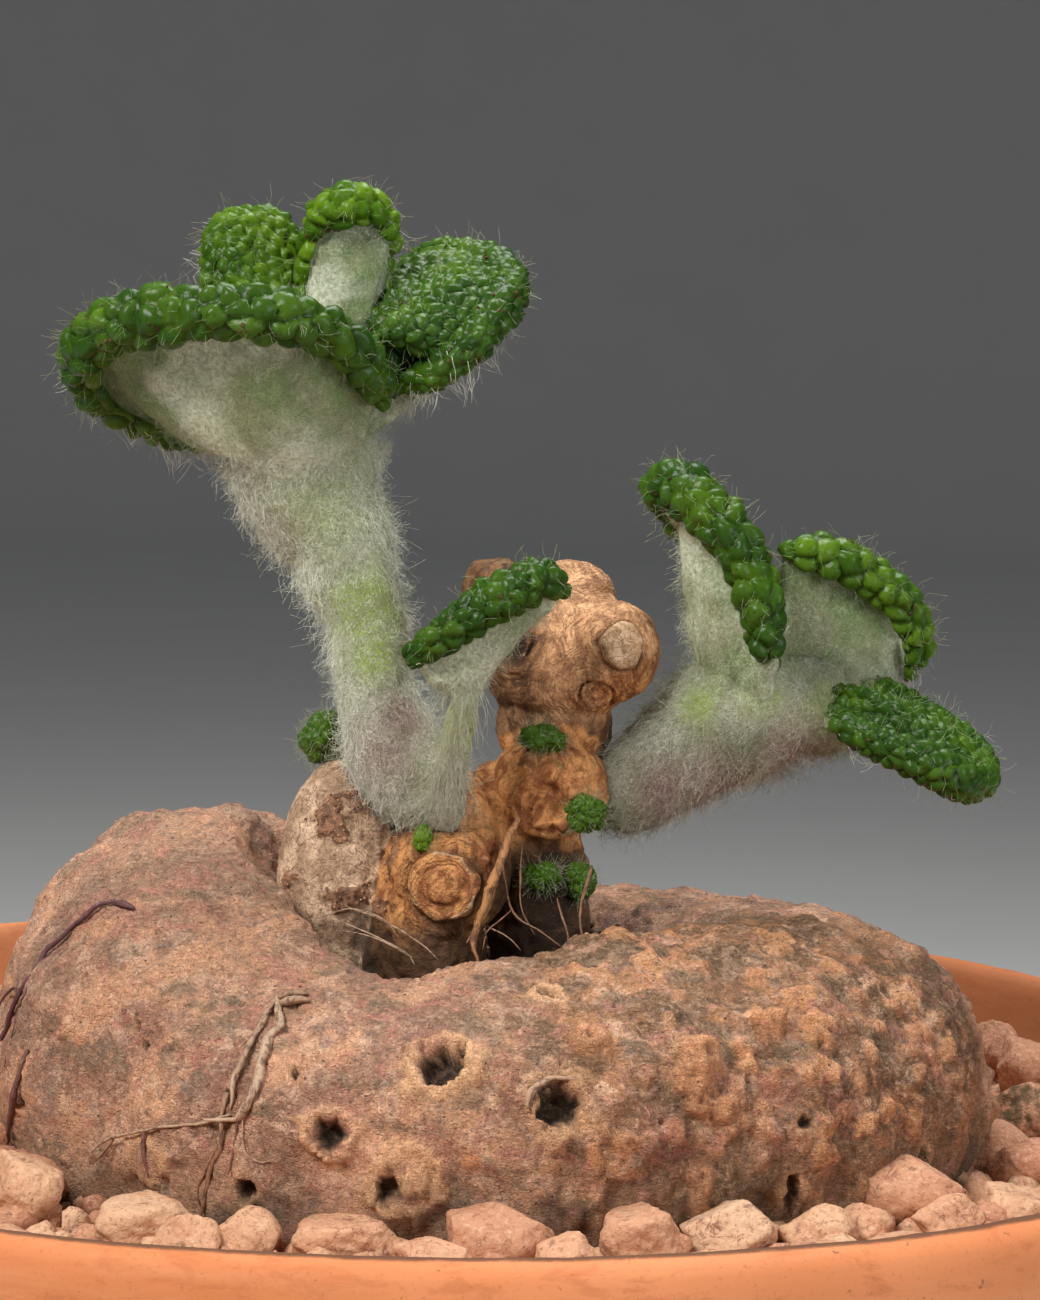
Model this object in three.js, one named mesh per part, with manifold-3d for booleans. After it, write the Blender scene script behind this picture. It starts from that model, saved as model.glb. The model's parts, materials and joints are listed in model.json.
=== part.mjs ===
// Tuberous gesneriad in a shallow terracotta pan: a broad lumpy tuber with a hollow
// crown, two woolly stems and a short middle one, and blistered leaves whose margins
// roll back towards their woolly undersides.
// Millimetres, +Z up. The origin is on the pot's axis, at the surface that it stands on.
import * as THREE from 'three';
import { mergeVertices } from 'three/addons/utils/BufferGeometryUtils.js';
import Module from 'manifold-3d';

const wasm = await Module();
wasm.setup();

// Driving dimensions

const GAP = 0.35; // clearance kept between pieces that touch
const SEAT = 0.55; // clearance of the sockets that leaves and stems stand in
const LEAF_SEAT = 0.8; // the same round the plainer form of a leaf, which cuts its socket
const SIDES = 32; // facets round the pot, the soil and the gravel

const POT = { rim: 80, height: 62, foot: 54, floor: 6, drain: 6.5, innerFoot: 52.5, flare: 0.4365 };
const SOIL_TOP = 46.6;
const GRAVEL_TOP = 51.6;

// Tuber: a ring-like body round a hollow. Each table runs anticlockwise from +X in
// steps of 30 degrees.
const TUBER = { x: 7, y: 0, equator: 60, bottom: 41, hollow: 64, power: 2.15 };
const OUTER = [45.7, 44, 41, 38, 40, 43.5, 45.2, 45, 42.5, 41, 40.5, 43];
const CREST = [26, 25, 24, 22, 23, 26, 27, 26, 23, 20, 19.5, 22];
const CREST_Z = [74.6, 74, 73.5, 73, 76, 81, 83, 78, 72.2, 73.4, 74.8, 75];
const HOLLOW = [12, 13, 15, 16, 17, 18, 18.5, 18, 17, 15, 13, 12];
const SECTION = [180, 146, 116, 90, 68, 48, 32, 16, 0, -16, -34, -60];
const TUBER_COLUMNS = 48;

// Places on the tuber are [degrees round it, degrees up its section, size].
const HOLES = [[252, 9, 1.2], [264, 34, 1.7], [259, -4, 1.2], [279, 62, 0.8], [278, 21, 1.8],
  [242, -9, 0.8], [223, 33, 0.6]];
const CALLUSES = [[252, 9, 2.2], [264, 35, 2.5], [260, -4, 3.1], [279, 62, 1.5], [229, -3, 2]];
const WARTS = [[283, 39, 1.6], [297, 32, 2.2], [295, 16, 1.8], [311, 42, 1.5], [315, 80, 0.9],
  [3, 75, 0.9], [334, 38, 1], [295, -4, 1.1], [284, 4, 1], [322, 18, 1.1]];
const BACK_WARTS = 3;
const DRY_ROOTS = [
  { r: 0.6, at: [[206, 62], [203, 50], [201, 36], [200, 24], [198, 10], [196, -8]] },
  { r: 0.7, at: [[240, 68], [240.5, 50], [241, 34], [239, 18], [239, 4], [238, -8]] },
];

// Old stem stumps that crowd the hollow: [centre, radii, lean in degrees].
const STUMPS = [
  [[-7.6, -1, 77], [5.5, 5.6, 11.4], 4], [[-2.4, -1.6, 73], [4.4, 5, 8.6], 0],
  [[3, -5.3, 78.6], [5, 5.4, 6], 0],
  [[1.5, -5, 72], [4.6, 5, 7.6], 0], [[2.7, -3.5, 84], [4, 4.4, 4], 0],
  [[7.5, -0.5, 82.5], [4.6, 4.6, 6], 0], [[11.7, -2, 86.3], [5.2, 5, 4.8], 0],
  [[11, 0, 76], [4.6, 5.2, 11.6], 0], [[12, 1, 92.5], [5, 4.8, 5.5], 0],
  [[12.4, 0.6, 98.4], [7.4, 6.4, 6.4], -8], [[17.2, -2, 99.2], [4.4, 4.7, 4.5], 0],
  [[7.4, 0.4, 100], [3.4, 4.2, 5], 10], [[6.4, 2, 104.4], [3, 3, 2.6], 0],
  [[13, 3, 103.6], [4, 3.4, 3], 0],
];
// Ring scars left by old shoots: [centre, radius, direction that it faces].
const SCARS = [
  [[2.4, -10.6, 78.4], 3.4, [-0.1, -1, 0.05]], [[11.4, -6.8, 86], 2.3, [-0.1, -1, 0]],
  [[18.2, -6.3, 100.3], 1.9, [0.25, -1, 0.25]], [[15.9, -5.9, 95.4], 1.5, [0.1, -1, -0.3]],
  [[7.9, -4.6, 99.9], 2, [-0.5, -1, 0.1]],
];

// Stems: a path, and the half widths across it and along the depth of the plant.
const STEMS = {
  stem_left: {
    path: [[1, -5, 84], [-0.8, -5, 87.6], [-2.9, -4, 90.6], [-4.5, -3, 96], [-5.3, -2, 101.3],
      [-6.8, -1.5, 104.9], [-8.2, -1, 108.5], [-10.2, -1, 112.1], [-11.3, -0.6, 116], [-11.3, 0, 119.4]],
    wide: [3.6, 4.4, 4.1, 3.3, 3.4, 4.1, 5, 6.1, 7.4, 6.6],
    deep: [3.4, 4.1, 4, 3.3, 3.2, 3.6, 4.2, 5.2, 6.4, 5.6],
  },
  stem_right: {
    path: [[16, 0, 84.6], [20, 0, 86.6], [24.5, 0, 90.2], [28.6, 0, 93], [33.4, 0.6, 94.2],
      [38.4, 1.4, 93.6], [42, 2, 93]],
    wide: [3.4, 4.2, 5.2, 6.2, 5.2, 3.8, 2],
    deep: [3.4, 4, 4.6, 5.2, 4.8, 4, 2.4],
  },
  stem_middle: {
    path: [[1.9, -8.4, 84], [2.4, -10, 86.6], [3.1, -12, 90.8], [4, -13, 95.4]],
    wide: [2.8, 2.3, 1.8, 1.9],
    deep: [2.2, 1.8, 1.5, 1.3],
  },
};

// Leaves: the blade runs from its foot on the stem to the centre line of the rolled
// margin. "green" is the way its blistered upper face looks.
const LEAVES = {
  leaf_left_front: {
    stem: 'stem_left', radius: 2.2, blade: 1.7, columns: 24, green: [0, 1, 0.4],
    margin: [[-20.9, -1, 117.6], [-25.6, 0, 119.2], [-29.5, -2, 121.2], [-31, -6, 124.3],
      [-28.6, -10, 126.9], [-24.4, -13, 128.2], [-19.8, -15, 128.6], [-15.4, -16, 128.7],
      [-11.2, -15, 128.1], [-7.8, -12, 126.4], [-5.7, -8.5, 123.9], [-4.5, -6.5, 121.8]],
    foot: [[-18.7, -3, 116], [-17.3, -5, 114.8], [-15.1, -7, 113.8], [-12.2, -8.2, 113.6],
      [-9.1, -7.8, 114.4], [-6.5, -6, 116.3]],
  },
  leaf_left_right: {
    stem: 'stem_left', radius: 1.9, blade: 1.5, columns: 22, rows: 5, green: [-0.3, -1, 0.6],
    margin: [[-3, -3.5, 122.8], [0.2, -5.5, 123.7], [3.1, -6, 126.2], [5.2, -4, 128.8],
      [6.5, -1, 131], [6, 3, 133], [3.6, 6, 134.1], [0.1, 8, 134.3], [-2.3, 9, 132.6],
      [-3, 8.5, 128.6]],
    foot: [[-6.2, -2.8, 117.8], [-5.5, -1.4, 118.2], [-5.2, 1, 118.4], [-5.4, 3, 118.2], [-6.2, 4.2, 118]],
  },
  leaf_left_middle: {
    stem: 'stem_left', radius: 1.7, blade: 1.4, columns: 16, green: [0, 1, 0.2],
    margin: [[-12, 0, 127.5], [-11.6, -0.6, 131.5], [-11.2, -1, 135.1], [-10, -2, 137.6],
      [-8.1, -2.5, 138.6], [-5.9, -2, 138.5], [-4.3, -1, 136.6], [-4.4, 0, 133.4],
      [-5.2, 1, 129.5]],
    foot: [[-10.6, -0.4, 118.2], [-9.2, -0.6, 118.2], [-7.6, -0.4, 118.4]],
  },
  leaf_left_back: {
    stem: 'stem_left', radius: 1.6, blade: 1.4, columns: 14, rows: 5, green: [0.1, -1, 0.3],
    margin: [[-20.1, 3, 129.5], [-20.2, 3.6, 133.2], [-19.7, 4, 135.9], [-17.7, 5, 136.9],
      [-15.2, 5, 136.8], [-13.2, 5, 134.5], [-12.4, 5, 130.5]],
    foot: [[-15.7, 3, 117.4], [-14, 3.5, 117.6], [-12.4, 3.6, 117.9]],
  },
  leaf_right_front: {
    stem: 'stem_right', radius: 2.2, blade: 1.6, columns: 20, green: [1, 0.6, 0],
    margin: [[26.7, 7, 104.2], [24.6, 5, 109.9], [21.8, 1, 113.9], [23.7, -3, 113.6],
      [26.5, -5.5, 110.7], [29.1, -6.5, 107.1], [30.4, -7, 103.4], [30.7, -7, 100]],
    foot: [[27.6, 4.4, 96.4], [25.6, 2.4, 95.4], [25.2, -1, 94.6], [26.4, -3, 94.4],
      [28.6, -4.4, 94.8], [30, -5, 95.4]],
  },
  leaf_right_upper: {
    stem: 'stem_right', radius: 1.9, blade: 1.5, columns: 16, green: [0.2, 1, 0.6],
    margin: [[33.4, -1, 108.3], [36.8, 0, 107.9], [40.4, 1, 106.1], [43.5, 2, 103.7],
      [45, 3.4, 100.7], [44.6, 5.4, 97.6]],
    foot: [[31.8, -2, 97.2], [34.6, -0.6, 96.8], [38, 0.8, 95.8], [41, 2.6, 95.2]],
  },
  leaf_right_lower: {
    stem: 'stem_right', radius: 1.8, blade: 1.4, columns: 20, rows: 4, green: [0.1, -1, 1],
    margin: [[38, -5, 93.2], [41.2, -6.6, 91.7], [45.7, -7, 90], [48.8, -5.4, 88.3],
      [50.6, -2, 88.4], [50.1, 1.6, 90.1], [47.4, 4, 91.8], [43.2, 4.6, 92.7], [39.8, 4, 92.8]],
    foot: [[34.8, -2.6, 93.4], [35.3, -1.4, 93.5], [35.4, 1, 93.5], [35, 2.4, 93.5]],
  },
  leaf_middle: {
    stem: 'stem_middle', radius: 1.8, blade: 1.4, columns: 16, green: [0, 1, 0.6],
    margin: [[-0.6, -14, 99.4], [1.8, -15, 101.1], [4.7, -15.4, 103.3], [7.6, -15, 105.1],
      [10.4, -13.4, 106.2], [11.9, -11.6, 105.3]],
    foot: [[3, -13.2, 94.2], [4, -13.4, 93.9], [5, -12.8, 94.4]],
  },
};

// Small leafy buds: [centre, radii].
const BUDS = {
  bud_left: [[-9, -0.6, 90.4], [2.3, 1.9, 2.1]],
  bud_upper: [[10.9, -5.6, 91.2], [2.1, 1.5, 1.2]],
  bud_right: [[15, -7, 84.8], [1.9, 1.5, 1.8]],
  bud_low_left: [[11.2, -5.8, 78.8], [1.6, 1.4, 1.3]],
  bud_low_right: [[14.6, -4.2, 78.2], [1.5, 1.4, 1.8]],
  sprout: [[0.4, -9.2, 82.4], [0.9, 0.9, 1.3]],
};

// Gravel: the larger stones against the tuber, [centre, radii, turn in degrees], and
// rings of smaller ones that a seeded draw shifts and turns.
const FRONT_STONES = [
  [[-32, -30, 54.4], [3.4, 4, 3.8], 20], [[-21.4, -36.5, 53.6], [4.9, 3.8, 3], 5],
  [[-17.2, -42, 53.6], [2.6, 3.2, 2.6], 40], [[-12.6, -41, 53.4], [2.4, 3, 2.8], 70],
  [[-4.6, -41, 53.8], [5.2, 3.6, 2.6], 0], [[2.8, -46, 53.6], [3.2, 3, 2], 30],
  [[7.8, -42.5, 54.6], [4.3, 3.6, 3.2], 10], [[13.4, -46, 54], [3, 3, 2.2], 50],
  [[19.4, -41, 54.6], [4, 3.6, 3.2], 0], [[27, -37.5, 54.2], [4.4, 3.6, 2.8], 15],
  [[34.6, -34.5, 53.6], [2.8, 3, 2.4], 60], [[38.6, -31, 53.6], [2.6, 3, 2.2], 10],
  [[42.6, -25, 55.4], [4.9, 3.6, 3.2], -15], [[46, -30, 53.8], [3.4, 3, 2.4], 30],
  [[52, -24, 53.6], [3.4, 3.4, 2.4], 0], [[56.6, -8, 53.6], [4, 3.6, 2.8], 20],
  [[60.4, 26, 56], [3.8, 3.6, 3.2], 0], [[57.4, 34, 56.4], [3, 3, 3], 45],
  [[57.4, 10, 54.6], [3.8, 4, 3.4], 70], [[-41, -18, 53.8], [3.6, 4, 3.4], 30],
];
const STONE_RINGS = 4;
const STONE_STEP = 11.4;
const STONE_CLEAR = 7.6;
const STONE_REACH = 67.5;

// Colours, roughness
const LOOKS = {
  terracotta: [0xc8693a, 0.85], soil: [0x3c2a1e, 1], gravel: [0xdcb896, 0.9],
  tuber: [0x9a7358, 0.85], stump: [0x9c6a3c, 0.8], wool: [0xc9d2bd, 0.95],
  leaf: [0x2c6a22, 0.4], bud: [0x3c6c34, 0.6],
};

// Helpers

const vec = (p) => new THREE.Vector3(...p);
const curve = (points) => new THREE.CatmullRomCurve3(points.map(vec), false, 'catmullrom', 0.5);
const rad = THREE.MathUtils.degToRad;

// Repeatable draws between 0 and 1.
function makeDraw(seed) {
  let state = seed >>> 0;
  return () => {
    state = (Math.imul(state, 1664525) + 1013904223) >>> 0;
    return state / 4294967296;
  };
}

// Value of an evenly spaced open list at u from 0 to 1.
function along(list, u) {
  const f = Math.min(u * (list.length - 1), list.length - 1.000001);
  const i = Math.floor(f);
  return THREE.MathUtils.lerp(list[i], list[i + 1], f - i);
}

// Smooth value of a closed table at an angle in degrees.
function around(table, degrees) {
  const n = table.length;
  const f = ((degrees / 360) * n + n) % n;
  const i = Math.floor(f);
  const t = f - i;
  const [a, b, c, d] = [i + n - 1, i, i + 1, i + 2].map((k) => table[k % n]);
  return 0.5 * (2 * b + (c - a) * t + (2 * a - 5 * b + 4 * c - d) * t * t
    + (3 * b - a - 3 * c + d) * t * t * t);
}

// Three.js geometry to a solid, with shared corners merged and faces turned outward.
function solid(geometry) {
  const bare = geometry.clone();
  bare.deleteAttribute('normal');
  bare.deleteAttribute('uv');
  const merged = mergeVertices(bare, 1e-4);
  const p = merged.attributes.position;
  const index = Array.from(merged.index.array);
  const [a, b, c] = [new THREE.Vector3(), new THREE.Vector3(), new THREE.Vector3()];
  let volume = 0;
  for (let i = 0; i < index.length; i += 3) {
    a.fromBufferAttribute(p, index[i]);
    b.fromBufferAttribute(p, index[i + 1]);
    c.fromBufferAttribute(p, index[i + 2]);
    volume += a.dot(b.cross(c));
  }
  if (volume < 0) index.reverse();
  return new wasm.Manifold(new wasm.Mesh({
    numProp: 3, vertProperties: new Float32Array(p.array), triVerts: new Uint32Array(index),
  }));
}

function faces(points, index) {
  const geometry = new THREE.BufferGeometry().setFromPoints(points);
  geometry.setIndex(index);
  return solid(geometry);
}

// Closed skin over rings of points, with one point closing each end.
function skin(rings, first, last) {
  const n = rings[0].length;
  const end = 1 + (rings.length - 1) * n;
  const points = [first, ...rings.flat(), last];
  const index = [];
  for (let j = 0; j < n; j++) {
    const k = (j + 1) % n;
    index.push(0, 1 + j, 1 + k, end + j, points.length - 1, end + k);
    for (let i = 0; i < rings.length - 1; i++) {
      const [a, b] = [1 + i * n + j, 1 + i * n + k];
      index.push(a, a + n, b, b, a + n, b + n);
    }
  }
  return faces(points, index);
}

// Largest connected body of a solid.
function mainBody(body) {
  return body.decompose().sort((a, b) => b.volume() - a.volume())[0];
}

// The same skin with every face pushed outward by a distance, for the socket that a
// piece stands in. A corner moves until it has passed each of the faces that meet in it.
function inflate(body, distance) {
  const { vertProperties, triVerts } = body.getMesh();
  const corner = (k) => new THREE.Vector3().fromArray(vertProperties, 3 * k);
  const meeting = Array.from({ length: vertProperties.length / 3 }, () => []);
  for (let i = 0; i < triVerts.length; i += 3) {
    const ids = Array.from(triVerts.subarray(i, i + 3));
    const way = new THREE.Triangle(...ids.map(corner)).getNormal(new THREE.Vector3());
    for (const k of ids) if (meeting[k].every((other) => other.dot(way) < 0.97)) meeting[k].push(way);
  }
  const points = meeting.map((ways, k) => {
    const move = new THREE.Vector3();
    for (let round = 0; round < 24; round++) {
      for (const way of ways) move.addScaledVector(way, Math.max(0, distance - way.dot(move)));
    }
    return corner(k).add(move.clampLength(0, 3 * distance));
  });
  return faces(points, Array.from(triVerts));
}

const join = (list) => list.reduce((sum, item) => sum.add(item));

function lathe(profile) {
  const points = profile.map(([r, z]) => new THREE.Vector2(r, z));
  return solid(new THREE.LatheGeometry(points, SIDES).rotateX(Math.PI / 2));
}

// A unit geometry scaled, turned so that its +Y looks along "way", and moved.
function placed(geometry, centre, radii, way = [0, 1, 0], turn = 0) {
  geometry.rotateY(rad(turn)).scale(...radii);
  const q = new THREE.Quaternion().setFromUnitVectors(new THREE.Vector3(0, 1, 0), vec(way).normalize());
  return solid(geometry.applyQuaternion(q).translate(...centre));
}

// Pot, soil and gravel bed

const innerWall = (z) => POT.innerFoot + (z - 8) * POT.flare;
const outerWall = (z) => POT.foot + z * POT.flare;

function makePot() {
  return lathe([
    [POT.drain, 0], [POT.foot - 1.2, 0], [outerWall(1.4), 1.4], [outerWall(50), 50],
    [POT.rim - 1.2, 51], [POT.rim, 53], [POT.rim, 59.6], [POT.rim - 0.8, 61.4],
    [POT.rim - 2.2, POT.height], [innerWall(61.4) + 0.4, 61.6], [innerWall(60), 60],
    [POT.innerFoot, 8], [POT.innerFoot - 3, POT.floor], [POT.drain, POT.floor], [POT.drain, 0],
  ]);
}

function fill(bottom, top) {
  const low = bottom > 8 ? [[innerWall(bottom) - GAP, bottom]]
    : [[POT.innerFoot - 3.4, bottom], [POT.innerFoot - GAP, 8.4]];
  return lathe([[0, bottom], ...low, [innerWall(top) - GAP - 0.1, top], [0, top]]);
}

// Tuber

const swell = (p) => 0.4 * Math.sin(0.47 * p.x + 1.3 * Math.sin(0.29 * p.z))
  * Math.sin(0.43 * p.z + 0.8 * Math.sin(0.33 * p.y)) + 0.25 * Math.sin(0.7 * p.y + 0.5 * p.x);

// Point of the tuber's skin: "turn" is the angle round it, and "up" the angle along its
// section, from 180 at the foot of the hollow, over 90 on the crest and 0 at the widest
// place, down to -90 underneath.
function tuberPoint(turn, up, grow = 0) {
  const [outer, crest, crestZ, hollow] = [OUTER, CREST, CREST_Z, HOLLOW].map((t) => around(t, turn));
  const [c, s] = [Math.cos(rad(up)), Math.sin(rad(up))];
  const cc = Math.abs(c) ** (2 / TUBER.power);
  const ss = Math.abs(s) ** (2 / TUBER.power);
  let r = crest + (outer - crest) * cc;
  let z = TUBER.equator + (up >= 0 ? crestZ - TUBER.equator : TUBER.bottom - TUBER.equator) * ss;
  if (up > 90) {
    r = crest - (crest - hollow) * cc;
    z = TUBER.hollow + (crestZ - TUBER.hollow) * ss;
  }
  const [ct, st] = [Math.cos(rad(turn)), Math.sin(rad(turn))];
  const p = new THREE.Vector3(TUBER.x + ct * r, TUBER.y + st * r, z);
  const out = new THREE.Vector3(ct * c, st * c, s);
  return p.addScaledVector(out, swell(p) + grow);
}

function tuberWay(turn, up) {
  const p = tuberPoint(turn, up);
  const a = tuberPoint(turn + 0.5, up).sub(p);
  const b = tuberPoint(turn, up + 0.5).sub(p);
  return a.cross(b).normalize();
}

function tuberBody(grow) {
  const rings = SECTION.map((up) => Array.from({ length: TUBER_COLUMNS },
    (_, i) => tuberPoint((360 * i) / TUBER_COLUMNS, up, grow)));
  return skin(rings, new THREE.Vector3(TUBER.x, TUBER.y, TUBER.hollow + grow),
    new THREE.Vector3(TUBER.x, TUBER.y, TUBER.bottom - grow));
}

function wartSpots() {
  const draw = makeDraw(11);
  const spots = [...WARTS];
  for (let i = 0; i < BACK_WARTS; i++) {
    spots.push([15 + (150 * (i + draw())) / BACK_WARTS, 10 + 60 * draw(), 0.8 + 0.8 * draw()]);
  }
  return spots;
}

function makeTuber() {
  const parts = [tuberBody(0)];
  for (const [turn, up, r] of wartSpots()) {
    parts.push(placed(new THREE.SphereGeometry(1, 6, 3), tuberPoint(turn, up).toArray(),
      [r, 0.55 * r, r], tuberWay(turn, up).toArray()));
  }
  for (const [turn, up, r] of CALLUSES) {
    const plate = new THREE.CylinderGeometry(0.8, 1, 1, 8);
    parts.push(placed(plate, tuberPoint(turn, up).toArray(), [r, 0.7, r], tuberWay(turn, up).toArray()));
  }
  for (const { r, at } of DRY_ROOTS) {
    const path = curve(at.map(([turn, up]) => tuberPoint(turn, up).toArray()));
    const shape = new THREE.Shape([0, 1, 2, 3].map((k) => new THREE.Vector2(r, 0)
      .rotateAround(new THREE.Vector2(), (k * Math.PI) / 2)));
    parts.push(solid(new THREE.ExtrudeGeometry(shape, { steps: 7, extrudePath: path })));
  }
  let body = join(parts);
  for (const [turn, up, r] of HOLES) {
    const bore = new THREE.CylinderGeometry(1, 0.7, 2, 6);
    body = body.subtract(placed(bore, tuberPoint(turn, up).toArray(), [r, 0.7 + r, r],
      tuberWay(turn, up).toArray()));
  }
  return mainBody(body);
}

// Stumps, stems, leaves and buds

function makeStumps() {
  const lumps = STUMPS.map(([centre, radii, lean]) => placed(new THREE.SphereGeometry(1, 8, 5)
    .rotateX(Math.PI / 2), centre, radii, [Math.sin(rad(lean)), Math.cos(rad(lean)), 0]));
  const plate = (centre, r, high, way) => placed(new THREE.CylinderGeometry(0.85, 1, 2, 8),
    centre, [r, high, r], way);
  const scars = SCARS.flatMap(([centre, r, way]) => (r > 1.8
    ? [plate(centre, r, 0.8, way), plate(centre, 0.5 * r, 1.4, way)]
    : [plate(centre, r, 0.9, way)]));
  return join([...lumps, ...scars]);
}

function makeStem({ path, wide, deep }) {
  const line = curve(path);
  const steps = Math.round(path.length * 1.2);
  const sides = 10;
  const rings = [];
  for (let i = 0; i <= steps; i++) {
    const u = i / steps;
    const p = line.getPoint(u);
    const way = line.getTangent(u);
    const side = new THREE.Vector3(0, 1, 0).cross(way).normalize();
    const depth = way.clone().cross(side);
    const close = i === 0 || i === steps ? 0.72 : 1;
    rings.push(Array.from({ length: sides }, (_, j) => {
      const a = (2 * Math.PI * j) / sides;
      return p.clone().addScaledVector(side, Math.cos(a) * along(wide, u) * close)
        .addScaledVector(depth, Math.sin(a) * along(deep, u) * close);
    }));
  }
  const tip = (u, sign) => line.getPoint(u).addScaledVector(line.getTangent(u), sign * 0.8);
  return skin(rings, tip(0, -1), tip(1, 1));
}

// One leaf: sections across the rolled margin, each a blade that ends in a round roll.
function makeLeaf({ margin, foot, radius, blade, columns, green, rows = 3 }) {
  const edge = curve(margin);
  const root = curve(foot);
  const roll = 8;
  const frame = (u) => {
    const [centre, base, t] = [edge.getPoint(u), root.getPoint(u), edge.getTangent(u)];
    return { centre, base, t, face: t.clone().cross(centre.clone().sub(base).normalize()) };
  };
  const sign = Math.sign(frame(0.5).face.dot(vec(green)));
  const mean = new THREE.Vector3();
  for (let i = 0; i <= columns; i++) mean.add(frame(i / columns).face);
  mean.normalize().multiplyScalar(0.35);
  const points = [];
  for (let i = 0; i <= columns; i++) {
    const u = i / columns;
    const { centre, base, t, face } = frame(u);
    face.add(mean);
    const n = face.addScaledVector(t, -face.dot(t)).normalize().multiplyScalar(sign);
    const across = n.clone().cross(t).multiplyScalar(sign);
    const thin = 0.5 + 0.5 * Math.sin(Math.PI * u) ** 0.6;
    const r = radius * thin;
    const half = (blade / 2) * (0.6 + 0.4 * thin);
    const start = 360 - THREE.MathUtils.radToDeg(Math.acos((r - 2 * half) / r));
    const onRoll = (degrees, lift) => centre.clone()
      .addScaledVector(n, (r + lift) * Math.cos(rad(degrees)))
      .addScaledVector(across, (r + lift) * Math.sin(rad(degrees)));
    const peak = (row) => {
      if (i === 0 || i === columns || row % 2) return 0;
      return i % 2 === (row / 2) % 2 ? 0.5 : -0.15;
    };
    const lower = base.clone().addScaledVector(n, -half);
    const upper = base.clone().addScaledVector(n, half);
    for (let j = 0; j < rows; j++) points.push(lower.clone().lerp(onRoll(start, 0), j / rows));
    for (let j = 0; j <= roll; j++) points.push(onRoll(start * (1 - j / roll), j ? peak(j) : 0));
    for (let j = rows - 1; j >= 0; j--) {
      const lift = j ? Math.max(0, peak(roll + rows - j)) : 0;
      points.push(upper.clone().lerp(onRoll(0, 0), j / rows).addScaledVector(n, lift));
    }
  }
  const n = 2 * rows + roll + 1;
  const index = [];
  for (let i = 0; i < columns; i++) {
    for (let j = 0; j < n; j++) {
      const [a, b] = [i * n + j, i * n + ((j + 1) % n)];
      index.push(a, a + n, b, b, a + n, b + n);
    }
  }
  for (const [start, flip] of [[0, false], [columns * n, true]]) {
    const cap = [];
    for (let j = 0; j < rows; j++) {
      const [a, b, c, d] = [j, j + 1, n - 2 - j, n - 1 - j];
      cap.push([a, b, d], [b, c, d]);
    }
    for (let j = 1; j < roll; j++) cap.push([rows, rows + j, rows + j + 1]);
    for (const [a, b, c] of cap) {
      index.push(start + a, start + (flip ? c : b), start + (flip ? b : c));
    }
  }
  return faces(points, index);
}

function makeBud([centre, radii]) {
  const ball = new THREE.IcosahedronGeometry(1, radii[0] > 1.8 ? 1 : 0);
  const p = ball.attributes.position;
  const v = new THREE.Vector3();
  for (let i = 0; i < p.count; i++) {
    v.fromBufferAttribute(p, i);
    const [, middle, largest] = v.toArray().map(Math.abs).sort((a, b) => a - b);
    const corner = middle > 0.4 && largest < 0.9 && largest > 0.84;
    v.multiplyScalar(corner ? 1.12 : 0.92);
    p.setXYZ(i, v.x, v.y, v.z);
  }
  return placed(ball, centre, radii);
}

// Gravel

function stoneSpots() {
  const draw = makeDraw(5);
  const spots = FRONT_STONES.map(([c, radii, turn]) => ({ c, radii, turn }));
  for (let ring = 0; ring < STONE_RINGS; ring++) {
    const count = Math.round((2 * Math.PI * (42 + 9 * ring)) / STONE_STEP);
    for (let i = 0; i < count; i++) {
      const [a, b, c, d, e, f] = Array.from({ length: 6 }, draw);
      const turn = (360 * (i + 0.4 * a)) / count;
      const [ct, st] = [Math.cos(rad(turn)), Math.sin(rad(turn))];
      const near = 0.94 * around(OUTER, turn) + 3.4;
      const far = Math.sqrt(STONE_REACH ** 2 - (TUBER.x * st) ** 2) - TUBER.x * ct;
      const r = THREE.MathUtils.lerp(near, far, ring / (STONE_RINGS - 1)) + 1.6 * (b - 0.5);
      const [x, y] = [TUBER.x + r * ct, TUBER.y + r * st];
      if (spots.some(({ c: s }) => Math.hypot(x - s[0], y - s[1]) < STONE_CLEAR)) continue;
      spots.push({
        c: [x, y, 52.2 + 1.6 * c], radii: [4.9 + 1.2 * d, 4.4 + e, 2.8 + 0.9 * f], turn: 360 * f,
        tilt: 24 * (f - 0.5),
      });
    }
  }
  return spots;
}

function makeGravel() {
  const stones = stoneSpots().map(({ c, radii, turn, tilt }) => {
    const stone = tilt === undefined ? new THREE.IcosahedronGeometry(1.1, 0)
      : new THREE.CylinderGeometry(0.62, 1.05, 1.9, 5).rotateX(Math.PI / 2 + rad(tilt));
    return solid(stone.scale(...radii).rotateZ(rad(turn)).translate(...c));
  });
  return join([fill(SOIL_TOP + GAP, GRAVEL_TOP), ...stones]);
}

// Assembly: each piece gives way to those that press into it

const built = (make, table) => Object.fromEntries(
  Object.entries(table).map(([name, spec]) => [name, make(spec)]));
const leaves = built(makeLeaf, LEAVES);
const leafRooms = built((spec) => makeLeaf({ ...spec, columns: spec.columns / 2, rows: 1 }), LEAVES);
const buds = built(makeBud, BUDS);
const stemForms = built(makeStem, STEMS);
const budRoom = Object.values(buds).map((bud) => inflate(bud, GAP));

function seated(body, rooms) {
  return mainBody(rooms.reduce((rest, room) => rest.subtract(room), body));
}

const stems = {};
for (const [name, form] of Object.entries(stemForms)) {
  const held = Object.keys(LEAVES).filter((leaf) => LEAVES[leaf].stem === name);
  const beside = Object.keys(stems).map((other) => stemForms[other]);
  stems[name] = seated(form, [...held.map((leaf) => inflate(leafRooms[leaf], LEAF_SEAT)),
    ...beside.map((other) => inflate(other, SEAT)), ...budRoom]);
}

const stumps = seated(makeStumps(), [tuberBody(GAP + 0.1),
  ...Object.values(stemForms).map((form) => inflate(form, SEAT)), ...budRoom]);

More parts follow.
